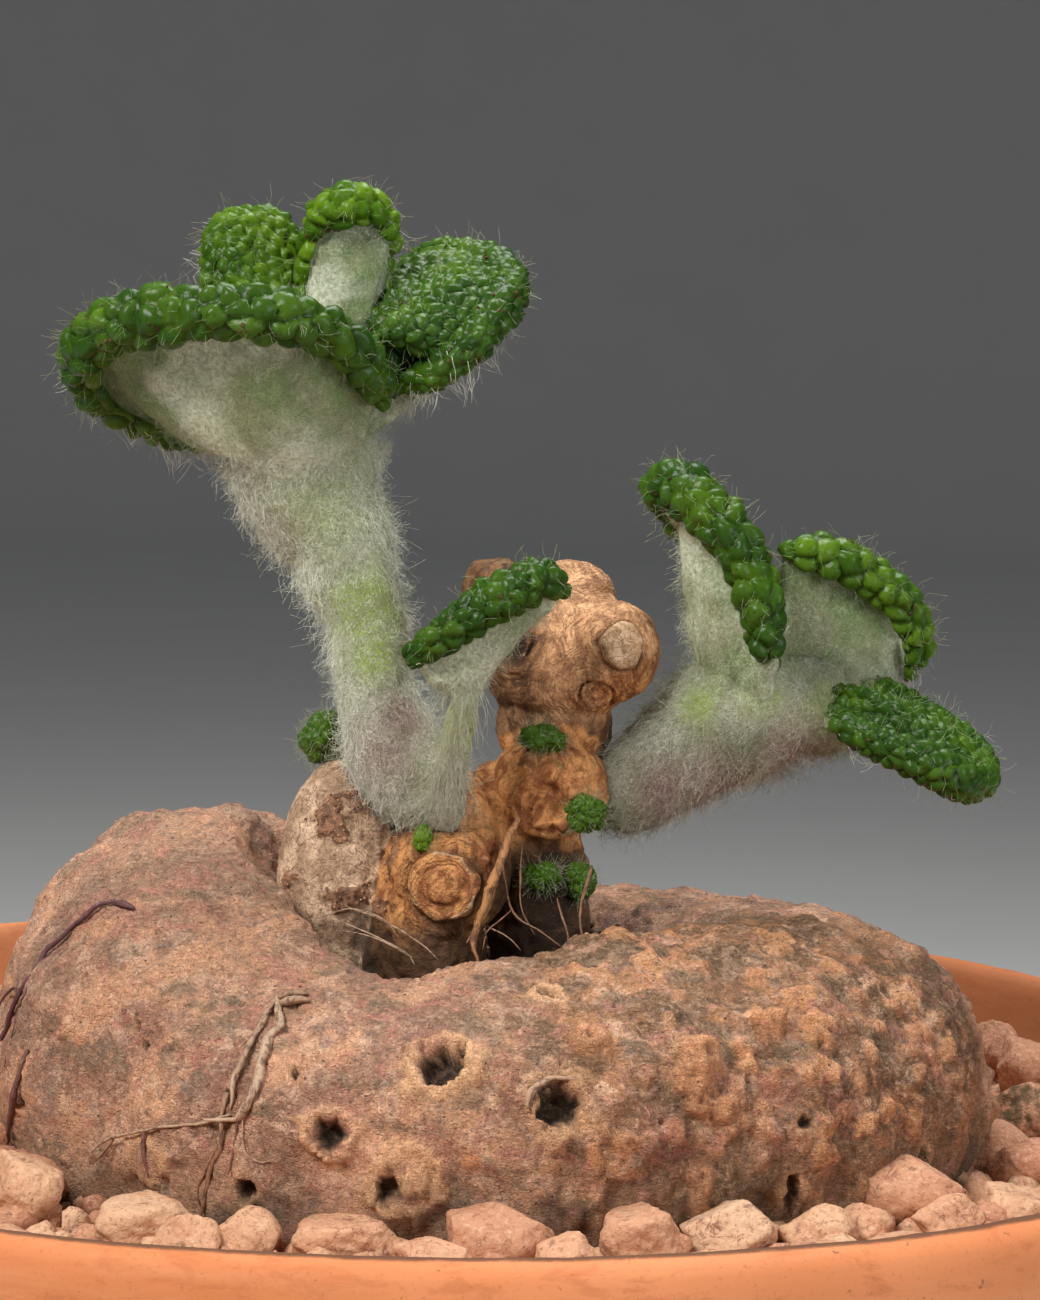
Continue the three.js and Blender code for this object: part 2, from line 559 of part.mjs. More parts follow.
const cavity = fill(POT.floor + 0.4, POT.height - 1);
const pieces = [
  ['pot', makePot(), 'terracotta'],
  ['soil', mainBody(fill(POT.floor + GAP, SOIL_TOP).subtract(tuberBody(SEAT))), 'soil'],
  ['gravel', mainBody(makeGravel().intersect(cavity).subtract(tuberBody(2 * SEAT))), 'gravel'],
  ['tuber', makeTuber(), 'tuber'],
  ['old_stumps', stumps, 'stump'],
  ...Object.entries(stems).map(([name, body]) => [name, body, 'wool']),
  ...Object.entries(leaves).map(([name, body]) => [name, body, 'leaf']),
  ...Object.entries(buds).map(([name, body]) => [name, body, 'bud']),
];

const plant = new THREE.Group();
for (const [name, body, look] of pieces) {
  const { vertProperties, triVerts } = body.getMesh();
  const geometry = new THREE.BufferGeometry();
  geometry.setAttribute('position', new THREE.BufferAttribute(vertProperties, 3));
  geometry.setIndex(new THREE.BufferAttribute(triVerts, 1));
  geometry.computeVertexNormals();
  const [color, roughness] = LOOKS[look];
  const mesh = new THREE.Mesh(geometry, new THREE.MeshStandardMaterial({ color, roughness, metalness: 0 }));
  mesh.name = name;
  plant.add(mesh);
}

export default plant;
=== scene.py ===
"""A tuberous gesneriad in a shallow terracotta pan, dressed for its portrait.

The lumpy tuber, the woody stumps in its crown, the woolly stems and the blistered
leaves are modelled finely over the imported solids, from the same driving sizes.
Sizes are in millimetres and turned into metres when a mesh is made.
"""
import json
import math

import bmesh
import bpy
import numpy as np
from mathutils import Matrix, Vector
from mathutils.kdtree import KDTree

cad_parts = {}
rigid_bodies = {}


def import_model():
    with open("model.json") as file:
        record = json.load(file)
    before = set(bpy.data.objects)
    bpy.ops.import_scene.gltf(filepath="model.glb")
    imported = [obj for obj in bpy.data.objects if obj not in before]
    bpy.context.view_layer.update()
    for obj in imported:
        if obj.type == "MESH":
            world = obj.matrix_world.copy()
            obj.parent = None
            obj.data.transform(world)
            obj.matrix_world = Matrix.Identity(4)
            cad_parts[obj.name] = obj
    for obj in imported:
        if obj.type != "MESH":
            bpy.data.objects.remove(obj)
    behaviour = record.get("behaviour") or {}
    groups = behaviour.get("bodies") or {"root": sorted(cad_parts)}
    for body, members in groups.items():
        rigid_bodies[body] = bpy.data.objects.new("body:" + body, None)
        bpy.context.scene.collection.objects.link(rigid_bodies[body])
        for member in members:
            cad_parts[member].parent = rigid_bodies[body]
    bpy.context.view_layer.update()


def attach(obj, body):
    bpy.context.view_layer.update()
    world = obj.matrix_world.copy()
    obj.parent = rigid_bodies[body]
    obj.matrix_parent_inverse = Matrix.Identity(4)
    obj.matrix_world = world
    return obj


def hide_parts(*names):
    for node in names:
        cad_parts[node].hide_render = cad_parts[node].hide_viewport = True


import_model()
MM = 0.001
PER_MM2 = 1e6

# Driving sizes, as in the solids

POT = {"rim": 80, "height": 62, "foot": 54, "floor": 6, "drain": 6.5, "inner_foot": 52.5, "flare": 0.4365}
# Chips of the rim: place and size
POT_CHIPS = [[[23.5, -76.6, 61.6], 1.1], [[26.6, -77.4, 59.2], 0.9], [[-41, -66.5, 61.8], 0.7]]
GAP = 0.35
GRAVEL_TOP = 51.6
TUBER = {"x": 7, "y": 0, "equator": 60, "bottom": 41, "hollow": 64, "power": 2.15}
# The tuber at every 30 degrees round it: its reach, its crest and the crest's height, its hollow
OUTER = [45.7, 44, 41, 38, 40, 43.5, 45.2, 45, 42.5, 41, 40.5, 43]
CREST = [26, 25, 24, 22, 23, 26, 27, 26, 23, 20, 19.5, 22]
CREST_Z = [74.6, 74, 73.5, 73, 76, 81, 83, 78, 72.2, 73.4, 74.8, 75]
HOLLOW = [12, 13, 15, 16, 17, 18, 18.5, 18, 17, 15, 13, 12]

# Places on the tuber are [degrees round it, degrees up its section, size]. A hole's last number
# says how much lower than wide it is
HOLES = [[252, 9, 1.6, 1.1], [264, 34, 2.2, 1.2], [259.2, -5, 1.2, 0.9], [279, 61, 0.9, 1.2],
         [278.4, 20, 2, 0.8], [242, -8.5, 1.1, 1], [246, 31, 0.55, 1.2], [223.2, 33, 0.6, 1.2],
         [222.2, 36, 0.3, 1], [225.2, 28.2, 0.38, 1], [220.5, 45.5, 0.22, 1], [226, 39, 0.2, 1],
         [310, 8, 0.8, 1.1], [308.8, -9.8, 0.75, 0.5], [330.2, -7, 0.75, 0.45], [291, 12, 0.3, 1],
         [300, 24, 0.25, 1], [206.5, 4, 0.9, 0.4], [268, 52, 0.25, 1], [233, 56, 0.22, 1]]
CALLUSES = [[252, 9, 2.5], [264, 34, 3.2], [260.8, -3.6, 3.4], [279, 61, 1.7], [229, -4.5, 2.2]]
WARTS = [[283.2, 40.2, 1.7], [286, 37.8, 1], [297.2, 30.5, 2.3], [295.2, 24.5, 1.7], [296, 17, 1.6],
         [310, 39.2, 1.5], [312, 22.5, 1.2], [315, 80, 0.9], [304, 81, 0.8], [3, 75, 1.1], [357, 62, 1],
         [334, 38.5, 1.1], [296, -3.5, 1.3], [299, 15, 1.2], [286.2, 7, 1.1], [268, 2, 0.8],
         [323.5, 9.2, 0.8], [304, 34, 0.8], [330, 46, 0.9], [317, 31, 0.7], [341, 60, 1], [302, 74, 0.6],
         [309, 71, 0.5], [322, 66, 0.5], [291, 70, 0.5]]
# The raised cork plate in the largest callus
PLATE = [261.9, -3, 1.1]
ROSY_PATCHES = [
    [253, 12, 2.4], [254, 3, 2], [291, 9, 2.6], [293, 2, 2], [306, 4, 1.6], [316, 9, 1.7], [224, 33, 2],
    [238, 22, 1.8], [262, 43, 2], [330, 30, 1.6], [308, 16, 1.5], [206, 59, 1.5], [202.4, 50, 1.3],
    [200.6, 38, 1.3], [200, 24, 1.6], [204, 0, 2],
]

# Stumps: centre, radii, turn in degrees
STUMPS = [
    [[-7.6, -1, 77], [5.5, 5.6, 11.4], 4], [[-2.4, -1.6, 73], [4.4, 5, 8.6], 0],
    [[3, -5.3, 78.6], [5, 5.4, 6], 0], [[1.5, -5, 72], [4.6, 5, 7.6], 0],
    [[2.7, -3.5, 84], [4, 4.4, 4], 0], [[7.5, -0.5, 82.5], [4.6, 4.6, 6], 0],
    [[11.7, -2, 86.3], [5.2, 5, 4.8], 0], [[11, 0, 76], [4.6, 5.2, 11.6], 0],
    [[12, 1, 92.5], [5, 4.8, 5.5], 0], [[12.4, 0.6, 98.4], [7.4, 6.4, 6.4], -8],
    [[17.2, -2, 99.2], [4.4, 4.7, 4.5], 0], [[7.4, 0.4, 100], [3.4, 4.2, 5], 10],
    [[6.4, 2, 104.4], [3, 3, 2.6], 0], [[13, 3, 103.6], [4, 3.4, 3], 0],
]
PALE_STUMP = 0
# Stumps that are orange, and how far round them the orange goes
ORANGE_STUMPS = [[2, 1.25], [4, 1.3], [5, 1.25], [6, 1.2], [3, 1.1]]
# Ring scars of old shoots: centre, radius, the way that it faces
SCARS = [
    [[2.4, -10.6, 78.4], 3.4, [-0.1, -1, 0.05]], [[11.6, -6.8, 85.6], 2.3, [-0.1, -1, 0]],
    [[17.9, -6.3, 100], 2.1, [0.25, -1, 0.25]], [[15.7, -4.9, 95.4], 1.5, [0.1, -1, -0.3]],
    [[7.9, -4.6, 99.9], 2, [-0.5, -1, 0.1]],
]
BURL, TORN, OVAL = 0, 1, 2
# Rusty crusts on the stumps: place and size
CRUSTS = [[[-8.1, -6.6, 83.5], 2.6], [[-2.2, -6, 80.3], 2], [[-6.7, -6.4, 76.5], 1.7],
          [[-10.8, -4.4, 77.6], 0.8], [[-5, -4.6, 85.6], 1.6], [[-3.4, -7, 75.6], 1]]

STEMS = {
    "stem_left": {
        "path": [[1, -5, 84], [-0.8, -5, 87.6], [-2.9, -4, 90.6], [-4.5, -3, 96], [-5.3, -2, 101.3],
                 [-6.8, -1.5, 104.9], [-8.2, -1, 108.5], [-10.2, -1, 112.1], [-11.3, -0.6, 116],
                 [-11.3, 0, 119.4]],
        "wide": [3.6, 4.4, 4.1, 3.3, 3.4, 4.1, 5, 6.1, 7.4, 6.6],
        "deep": [3.4, 4.1, 4, 3.3, 3.2, 3.6, 4.2, 5.2, 6.4, 5.6],
    },
    "stem_right": {
        "path": [[16, 0, 84.6], [20, 0, 86.6], [24.5, 0, 90.2], [28.6, 0, 93], [33.4, 0.6, 94.2],
                 [38.4, 1.4, 93.6], [42, 2, 93]],
        "wide": [3.4, 4.2, 5.2, 6.2, 5.2, 3.8, 2],
        "deep": [3.4, 4, 4.6, 5.2, 4.8, 4, 2.4],
    },
    "stem_middle": {
        "path": [[1.9, -8.4, 84], [2.4, -10, 86.6], [3.1, -12, 90.8], [4, -13, 95.4]],
        "wide": [2.8, 2.3, 1.8, 1.9],
        "deep": [2.2, 1.8, 1.5, 1.3], "slim": 0.72,
    },
}

# Leaves: a rolled margin on a blade that comes from a foot. "green" is the way that the upper face
# looks, "pitch" the distance between two blisters, "lit" how much brighter the green is, for young
# growth and as painted light where the leaf is lit, "swell" how far the blade bulges, "ends" how thin
# the roll gets towards its two ends and how soon, and "sink", "reach" and "fill" how far the blade's
# foot is let into the stem
LEAVES = {
    "leaf_left_front": {
        "radius": 2.2, "blade": 1.7, "green": [0, 1, 0.4], "pitch": 2.3, "lit": 0.1,
        "sink": 2.2, "reach": 2.6,
        "margin": [[-20.9, -1, 117.6], [-25.6, 0, 119.2], [-29.5, -2, 121.2], [-31, -6, 124.3],
                   [-28.6, -10, 126.9], [-24.4, -13, 128.2], [-19.8, -15, 128.6], [-15.4, -16, 128.7],
                   [-11.2, -15, 128.1], [-7.8, -12, 126.4], [-5.7, -8.5, 123.9], [-4.5, -6.5, 121.8]],
        "foot": [[-18.7, -3, 116], [-17.3, -5, 114.8], [-15.1, -7, 113.8], [-12.2, -8.2, 113.6],
                 [-9.1, -7.8, 114.4], [-6.5, -6, 116.3]],
    },
    "leaf_left_right": {
        "radius": 1.9, "blade": 1.5, "green": [-0.3, -1, 0.6], "pitch": 1.35, "swell": 2.6, "lit": 0,
        "fill": [1.6, -5.4, 5.8],
        "margin": [[-3, -3.5, 122.8], [0.2, -5.5, 123.7], [3.1, -6, 126.2], [5.2, -4, 128.8],
                   [6.5, -1, 131], [6, 3, 133], [3.6, 6, 134.1], [0.1, 8, 134.3], [-2.3, 9, 132.6],
                   [-3, 8.5, 128.6]],
        "foot": [[-6.2, -2.8, 117.8], [-5.5, -1.4, 118.2], [-5.2, 1, 118.4], [-5.4, 3, 118.2],
                 [-6.2, 4.2, 118]],
    },
    "leaf_left_middle": {
        "radius": 1.7, "blade": 1.4, "green": [0, 1, 0.2], "pitch": 1.9, "ends": [0.2, 3.2], "lit": 0.7,
        "margin": [[-12, 0, 127.5], [-11.6, -0.6, 131.5], [-11.2, -1, 135.1], [-10, -2, 137.6],
                   [-8.1, -2.5, 138.6], [-5.9, -2, 138.5], [-4.3, -1, 136.6], [-4.4, 0, 133.4],
                   [-5.2, 1, 129.5]],
        "foot": [[-10.6, -0.4, 118.2], [-9.2, -0.6, 118.2], [-7.6, -0.4, 118.4]],
    },
    "leaf_left_back": {
        "radius": 1.6, "blade": 1.4, "green": [0.1, -1, 0.3], "pitch": 1.3, "swell": 1.8, "lit": 0.38,
        "margin": [[-20.1, 3, 129.5], [-20.2, 3.6, 133.2], [-19.7, 4, 135.9], [-17.7, 5, 136.9],
                   [-15.2, 5, 136.8], [-13.2, 5, 134.5], [-12.4, 5, 130.5]],
        "foot": [[-15.7, 3, 117.4], [-14, 3.5, 117.6], [-12.4, 3.6, 117.9]],
    },
    "leaf_right_front": {
        "radius": 2.2, "blade": 1.6, "green": [1, 0.6, 0], "pitch": 2.1, "lit": 0,
        "margin": [[26.7, 7, 104.2], [24.6, 5, 109.9], [21.8, 1, 113.9], [23.7, -3, 113.6],
                   [26.5, -5.5, 110.7], [29.1, -6.5, 107.1], [30.4, -7, 103.4], [30.7, -7, 100]],
        "foot": [[27.6, 4.4, 96.4], [25.6, 2.4, 95.4], [25.2, -1, 94.6], [26.4, -3, 94.4],
                 [28.6, -4.4, 94.8], [30, -5, 95.4]],
    },
    "leaf_right_upper": {
        "radius": 1.9, "blade": 1.5, "green": [0.2, 1, 0.6], "pitch": 1.9, "lit": 0.35,
        "margin": [[33.4, -1, 108.3], [36.8, 0, 107.9], [40.4, 1, 106.1], [43.5, 2, 103.7],
                   [45, 3.4, 100.7], [44.6, 5.4, 97.6]],
        "foot": [[31.8, -2, 97.2], [34.6, -0.6, 96.8], [38, 0.8, 95.8], [41, 2.6, 95.2]],
    },
    "leaf_right_lower": {
        "radius": 1.8, "blade": 1.4, "green": [0.1, -1, 1], "pitch": 1.3, "swell": 2.4,
        "margin": [[38, -5, 93.2], [41.2, -6.6, 91.7], [45.7, -7, 90], [48.8, -5.4, 88.3],
                   [50.6, -2, 88.4], [50.1, 1.6, 90.1], [47.4, 4, 91.8], [43.2, 4.6, 92.7],
                   [39.8, 4, 92.8]],
        "foot": [[34.8, -2.6, 93.4], [35.3, -1.4, 93.5], [35.4, 1, 93.5], [35, 2.4, 93.5]],
    },
    "leaf_middle": {
        "radius": 1.8, "blade": 1.4, "green": [0, 1, 0.6], "pitch": 1.7,
        "margin": [[-0.6, -14, 99.4], [1.8, -15, 101.1], [4.7, -15.4, 103.3], [7.6, -15, 105.1],
                   [10.4, -13.4, 106.2], [11.9, -11.6, 105.3]],
        "foot": [[2, -13.6, 96.4], [3.4, -13.4, 95.2], [5.4, -13.2, 97], [8.2, -12.8, 100.4],
                 [10.4, -11.8, 102.8]],
    },
}

# Buds: centre and radii
BUDS = {
    "bud_left": [[-9, -0.6, 90.4], [2.3, 1.9, 2.1]],
    "bud_upper": [[10.9, -5.6, 91.2], [2.1, 1.5, 1.2]],
    "bud_right": [[15, -7, 84.8], [1.9, 1.5, 1.8]],
    "bud_low_left": [[11.2, -5.8, 78.8], [1.6, 1.4, 1.3]],
    "bud_low_right": [[14.6, -4.2, 78.2], [1.5, 1.4, 1.8]],
    "sprout": [[0.4, -9.2, 82.4], [0.9, 0.9, 1.3]],
}

# The stones in front: centre, radii, turn in degrees
FRONT_STONES = [
    [[-32, -30, 54.4], [3.4, 4, 3.8], 20], [[-21.4, -36.5, 53.6], [4.9, 3.8, 3], 5],
    [[-17.2, -42, 53.6], [2.6, 3.2, 2.6], 40], [[-12.6, -41, 53.4], [2.4, 3, 2.8], 70],
    [[-4.6, -41, 53.8], [5.2, 3.6, 2.6], 0], [[2.8, -46, 53.6], [3.2, 3, 2], 30],
    [[7.8, -42.5, 54.6], [4.3, 3.6, 3.2], 10], [[13.4, -46, 54], [3, 3, 2.2], 50],
    [[19.4, -41, 54.6], [4, 3.6, 3.2], 0], [[27, -37.5, 54.2], [4.4, 3.6, 2.8], 15],
    [[34.6, -34.5, 53.6], [2.8, 3, 2.4], 60], [[38.6, -31, 53.6], [2.6, 3, 2.2], 10],
    [[42.6, -25, 55.4], [4.9, 3.6, 3.2], -15], [[46, -30, 53.8], [3.4, 3, 2.4], 30],
    [[52, -24, 53.6], [3.4, 3.4, 2.4], 0], [[56.6, -8, 53.6], [4, 3.6, 2.8], 20],
    [[60.4, 26, 56], [3.8, 3.6, 3.2], 0], [[57.4, 34, 56.4], [3, 3, 3], 45],
    [[57.4, 10, 54.6], [3.8, 4, 3.4], 70], [[-41, -18, 53.8], [3.6, 4, 3.4], 30],
]
# How pale each of them is
FRONT_TONES = [0.75, 0.85, 0.7, 0.72, 0.55, 0.6, 0.3, 0.5, 0.45, 0.95, 0.8, 0.6, 0.35, 0.55, 0.8, 0.12,
               0.2, 0.3, 0.4, 0.65]
MOSSY_STONE = 18
# The rings of smaller stones behind them
STONE_RINGS = 4
STONE_STEP = 11.4
STONE_CLEAR = 7.6
STONE_REACH = 67.5


# Curves, draws and noise

def unit(v):
    return v / np.maximum(np.linalg.norm(v, axis=-1, keepdims=True), 1e-12)


def curved(a, b, c, d, t):
    """A Catmull-Rom curve from b to c, where a is before them and d after."""
    return 0.5 * (2 * b + (c - a) * t + (2 * a - 5 * b + 4 * c - d) * t ** 2
                  + (3 * b - a - 3 * c + d) * t ** 3)


def spline(points, u):
    """Points of an open curve at each u from 0 to 1."""
    p = np.array(points, float)
    p = np.vstack([2 * p[0] - p[1], p, 2 * p[-1] - p[-2]])
    f = np.clip(u, 0, 1) * (len(points) - 1)
    i = np.minimum(f.astype(int), len(points) - 2)
    return curved(p[i], p[i + 1], p[i + 2], p[i + 3], (f - i)[:, None])


def spline_way(points, u):
    """Unit tangents of that curve."""
    step = 1e-4
    return unit(spline(points, np.minimum(u + step, 1)) - spline(points, np.maximum(u - step, 0)))


def spline_length(points):
    p = spline(points, np.linspace(0, 1, 200))
    return np.linalg.norm(np.diff(p, axis=0), axis=1).sum()


def even(points, count):
    """Values of u at even distances along the curve."""
    u = np.linspace(0, 1, 400)
    far = np.concatenate([[0], np.cumsum(np.linalg.norm(np.diff(spline(points, u), axis=0), axis=1))])
    return np.interp(np.linspace(0, far[-1], count), far, u)


def around(table, degrees):
    """Smooth values of a closed table at angles in degrees."""
    n = len(table)
    f = (np.asarray(degrees, float) / 360 * n) % n
    i = np.floor(f).astype(int)
    return curved(*(np.array(table, float)[(i + k) % n] for k in (-1, 0, 1, 2)), f - i)


def circle(count):
    """Angles at even steps once round."""
    return np.linspace(0, 2 * np.pi, count, endpoint=False)


def make_draw(seed):
    """Repeatable draws between 0 and 1, the same as those that place the solids' stones."""
    state = [seed]

    def draw():
        state[0] = (state[0] * 1664525 + 1013904223) % 4294967296
        return state[0] / 4294967296
    return draw


def smooth(x, low=0.0, high=1.0):
    t = np.clip((x - low) / (high - low), 0, 1)
    return t * t * (3 - 2 * t)


def ridge(x, at, wide):
    """1 where x is at a value, and less and less over a width to both sides."""
    return np.exp(-((x - at) / wide) ** 2)


def away(points, spot, squash=1.0):
    """How far each point is from a spot."""
    return np.linalg.norm((points - np.asarray(spot)) * squash, axis=1)


def grain(p, size, seed=0):
    """A smooth random value from -1 to 1 at each point, with lumps of about a size."""
    q = np.asarray(p, float) / size + 13.7 * (seed + 1)
    cell = np.floor(q).astype(np.int64)
    f = q - cell
    f = f * f * f * (f * (f * 6 - 15) + 10)
    total = 0
    for corner in np.ndindex(2, 2, 2):
        x, y, z = ((cell + corner).T + 100000)
        h = (x * 73856093 ^ y * 19349663 ^ z * 83492791 ^ (seed + 7) * 2654435761) & 0x7FFFFFFF
        h = (h ^ (h >> 13)) * 1274126177 & 0x7FFFFFFF
        h = h ^ (h >> 16)
        weight = np.prod(np.where(corner, f, 1 - f), axis=1)
        total = total + weight * ((h & 0xFFFF) / 32767.5 - 1)
    return total


TILT = np.array([[0.8, 0.36, -0.48], [-0.6, 0.48, -0.64], [0, 0.8, 0.6]])


def rough(p, size, seed=0, octaves=3, fall=0.5):
    """Noise in several sizes, each on axes turned from the last."""
    total, q = 0, np.asarray(p, float)
    for k in range(octaves):
        total = total + fall ** k * grain(q, size / 2 ** k, seed + k)
        q = q @ TILT
    return total


def wander(p, size, seed, octaves=3):
    """A noisy direction at each point."""
    return np.stack([rough(p, size, seed + k, octaves) for k in range(3)], axis=1)


# Meshes

def to_mesh(name, points, faces, **values):
    """A smooth-shaded mesh from points in millimetres, with named values on its points."""
    mesh = bpy.data.meshes.new(name)
    mesh.from_pydata((np.asarray(points, float) * MM).tolist(), [], [list(map(int, f)) for f in faces])
    add_values(mesh, **values)
    mesh.shade_smooth()
    mesh.update()
    return mesh


def points_of(mesh):
    co = np.empty(len(mesh.vertices) * 3, np.float32)
    mesh.vertices.foreach_get("co", co)
    return co.reshape(-1, 3).astype(float) / MM


def normals_of(mesh):
    n = np.empty(len(mesh.vertices) * 3, np.float32)
    mesh.vertex_normals.foreach_get("vector", n)
    return n.reshape(-1, 3).astype(float)


def move_points(mesh, points):
    mesh.vertices.foreach_set("co", (np.asarray(points) * MM).astype(np.float32).ravel())
    mesh.update()


def add_values(mesh, **values):
    """Keeps numbers or directions for the points of a mesh, one for each point or one for all."""
    for key, value in values.items():
        value = np.asarray(value, np.float32)
        if value.ndim == 0:
            value = np.full(len(mesh.vertices), value)
        kind, field = ("FLOAT_VECTOR", "vector") if value.ndim == 2 else ("FLOAT", "value")
        attribute = mesh.attributes.get(key) or mesh.attributes.new(key, kind, "POINT")
        attribute.data.foreach_set(field, value.ravel())


def value_of(mesh, key):
    value = np.empty(len(mesh.vertices), np.float32)
    mesh.attributes[key].data.foreach_get("value", value)
    return value


def weld(mesh, distance=1e-6):
    """Joins points that lie on each other, unless the distance is 0, and turns faces outwards."""
    work = bmesh.new()
    work.from_mesh(mesh)
    if distance:
        bmesh.ops.remove_doubles(work, verts=work.verts, dist=distance)
        bmesh.ops.dissolve_degenerate(work, edges=work.edges, dist=1e-8)
    bmesh.ops.recalc_face_normals(work, faces=work.faces)
    work.to_mesh(mesh)
    work.free()
    mesh.shade_smooth()
    mesh.update()
    return mesh


def ball(name, level):
    """A round mesh to shape, and the way outwards at each of its points."""
    work = bmesh.new()
    bmesh.ops.create_icosphere(work, subdivisions=level, radius=1)
    mesh = bpy.data.meshes.new(name)
    work.to_mesh(mesh)
    work.free()
    return mesh, unit(points_of(mesh) * MM)


def ring_faces(rows, columns):
    """Quads between rings of points, each ring closed on itself."""
    i, j = np.meshgrid(np.arange(rows - 1), np.arange(columns), indexing="ij")
    k = (j + 1) % columns
    return np.stack([i * columns + j, i * columns + k, (i + 1) * columns + k, (i + 1) * columns + j],
                    axis=-1).reshape(-1, 4)


def loop_faces(rows, columns):
    """The same quads, with the last ring joined to the first."""
    j = np.arange(columns)
    k = (j + 1) % columns
    end = (rows - 1) * columns
    return np.vstack([ring_faces(rows, columns), np.stack([end + j, end + k, k, j], axis=-1)])


def closed_rings(name, rings, first, last):
    """Skin over an array of rings [row, column, xyz] with a point closing each end."""
    rows, columns, _ = rings.shape
    points = np.vstack([rings.reshape(-1, 3), first, last])
    faces = [list(f) for f in ring_faces(rows, columns)]
    top, end = rows * columns, (rows - 1) * columns
    for j in range(columns):
        k = (j + 1) % columns
        faces.append([top, k, j])
        faces.append([top + 1, end + j, end + k])
    return weld(to_mesh(name, points, faces))


def baked(carrier):
    """The mesh that an object's modifiers make of it. The object goes."""
    carrier.update_tag()
    bpy.context.view_layer.update()
    ready = carrier.evaluated_get(bpy.context.evaluated_depsgraph_get())
    mesh = bpy.data.meshes.new_from_object(ready)
    carrier.modifiers.clear()
    bpy.data.objects.remove(carrier)
    mesh.shade_smooth()
    return mesh


def place(name, mesh, material=None):
    piece = bpy.data.objects.new(name, mesh)
    bpy.context.scene.collection.objects.link(piece)
    if material:
        mesh.materials.clear()
        mesh.materials.append(material)
    return piece


def finished(piece, slot, *nodes):
    """Attaches a piece to the root body, so that it rides with the pot, and hides the solids that it stands
    for.
    """
    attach(piece, "root")
    if nodes:
        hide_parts(*nodes)
    return piece


# Node trees

class Socket:
    """A socket whose arithmetic adds Math nodes to its tree."""

    def __init__(self, sheet, socket):
        self.sheet, self.socket = sheet, socket

    def __add__(self, other):
        return self.sheet.maths("ADD", self, other)

    def __radd__(self, other):
        return self.sheet.maths("ADD", other, self)

    def __sub__(self, other):
        return self.sheet.maths("SUBTRACT", self, other)

    def __rsub__(self, other):
        return self.sheet.maths("SUBTRACT", other, self)

    def __mul__(self, other):
        return self.sheet.maths("MULTIPLY", self, other)

    def __rmul__(self, other):
        return self.sheet.maths("MULTIPLY", other, self)

    def clamped(self, low=0.0, high=1.0):
        return self.sheet.node("ShaderNodeClamp", {}, {0: self, 1: low, 2: high})[0]

    def eased(self, low, high):
        """0 below low, 1 above high, and a smooth step between."""
        return self.sheet.node("ShaderNodeMapRange", {"interpolation_type": "SMOOTHSTEP"},
                               {0: self, 1: low, 2: high, 3: 0.0, 4: 1.0})[0]

    def below(self, low, high):
        """The other way round: 1 below low and 0 above high."""
        return 1 - self.eased(low, high)


class Made:
    """A node in a sheet: its outputs by name or number."""

    def __init__(self, sheet, node):
        self.sheet, self.node = sheet, node

    def __getitem__(self, key):
        return Socket(self.sheet, self.node.outputs[key])


class Sheet:
    """A node tree being written, for a finish or for what repeats."""

    def __init__(self, tree):
        self.tree = tree

    def node(self, kind, settings=None, inputs=None):
        made = self.tree.nodes.new(kind)
        for key, value in (settings or {}).items():
            if key == "stops":
                self.set_stops(made.color_ramp, value)
            else:
                setattr(made, key, value)
        for key, value in (inputs or {}).items():
            if isinstance(value, Socket):
                self.tree.links.new(value.socket, made.inputs[key])
            else:
                made.inputs[key].default_value = value
        return Made(self, made)

    @staticmethod
    def set_stops(ramp, stops):
        while len(ramp.elements) < len(stops):
            ramp.elements.new(1.0)
        for element, (at, colour) in zip(ramp.elements, stops):
            element.position = at
            element.color = (*colour, 1)

    def maths(self, operation, a, b=0.0):
        return self.node("ShaderNodeMath", {"operation": operation}, {0: a, 1: b})[0]

    def vector(self, operation, a, b=(0, 0, 0), scale=1.0):
        inputs = {0: a, 1: b, 3: scale}
        return self.node("ShaderNodeVectorMath", {"operation": operation}, inputs)["Vector"]

    def mix(self, factor, a, b, mode="MIX"):
        """One colour over another."""
        a, b = ((*c, 1) if isinstance(c, tuple) else c for c in (a, b))
        return self.node("ShaderNodeMix", {"data_type": "RGBA", "blend_type": mode},
                         {0: factor, 6: a, 7: b})[2]

    def value(self, name):
        """A value kept on the piece's points."""
        return self.node("ShaderNodeAttribute", {"attribute_name": name})["Fac"]


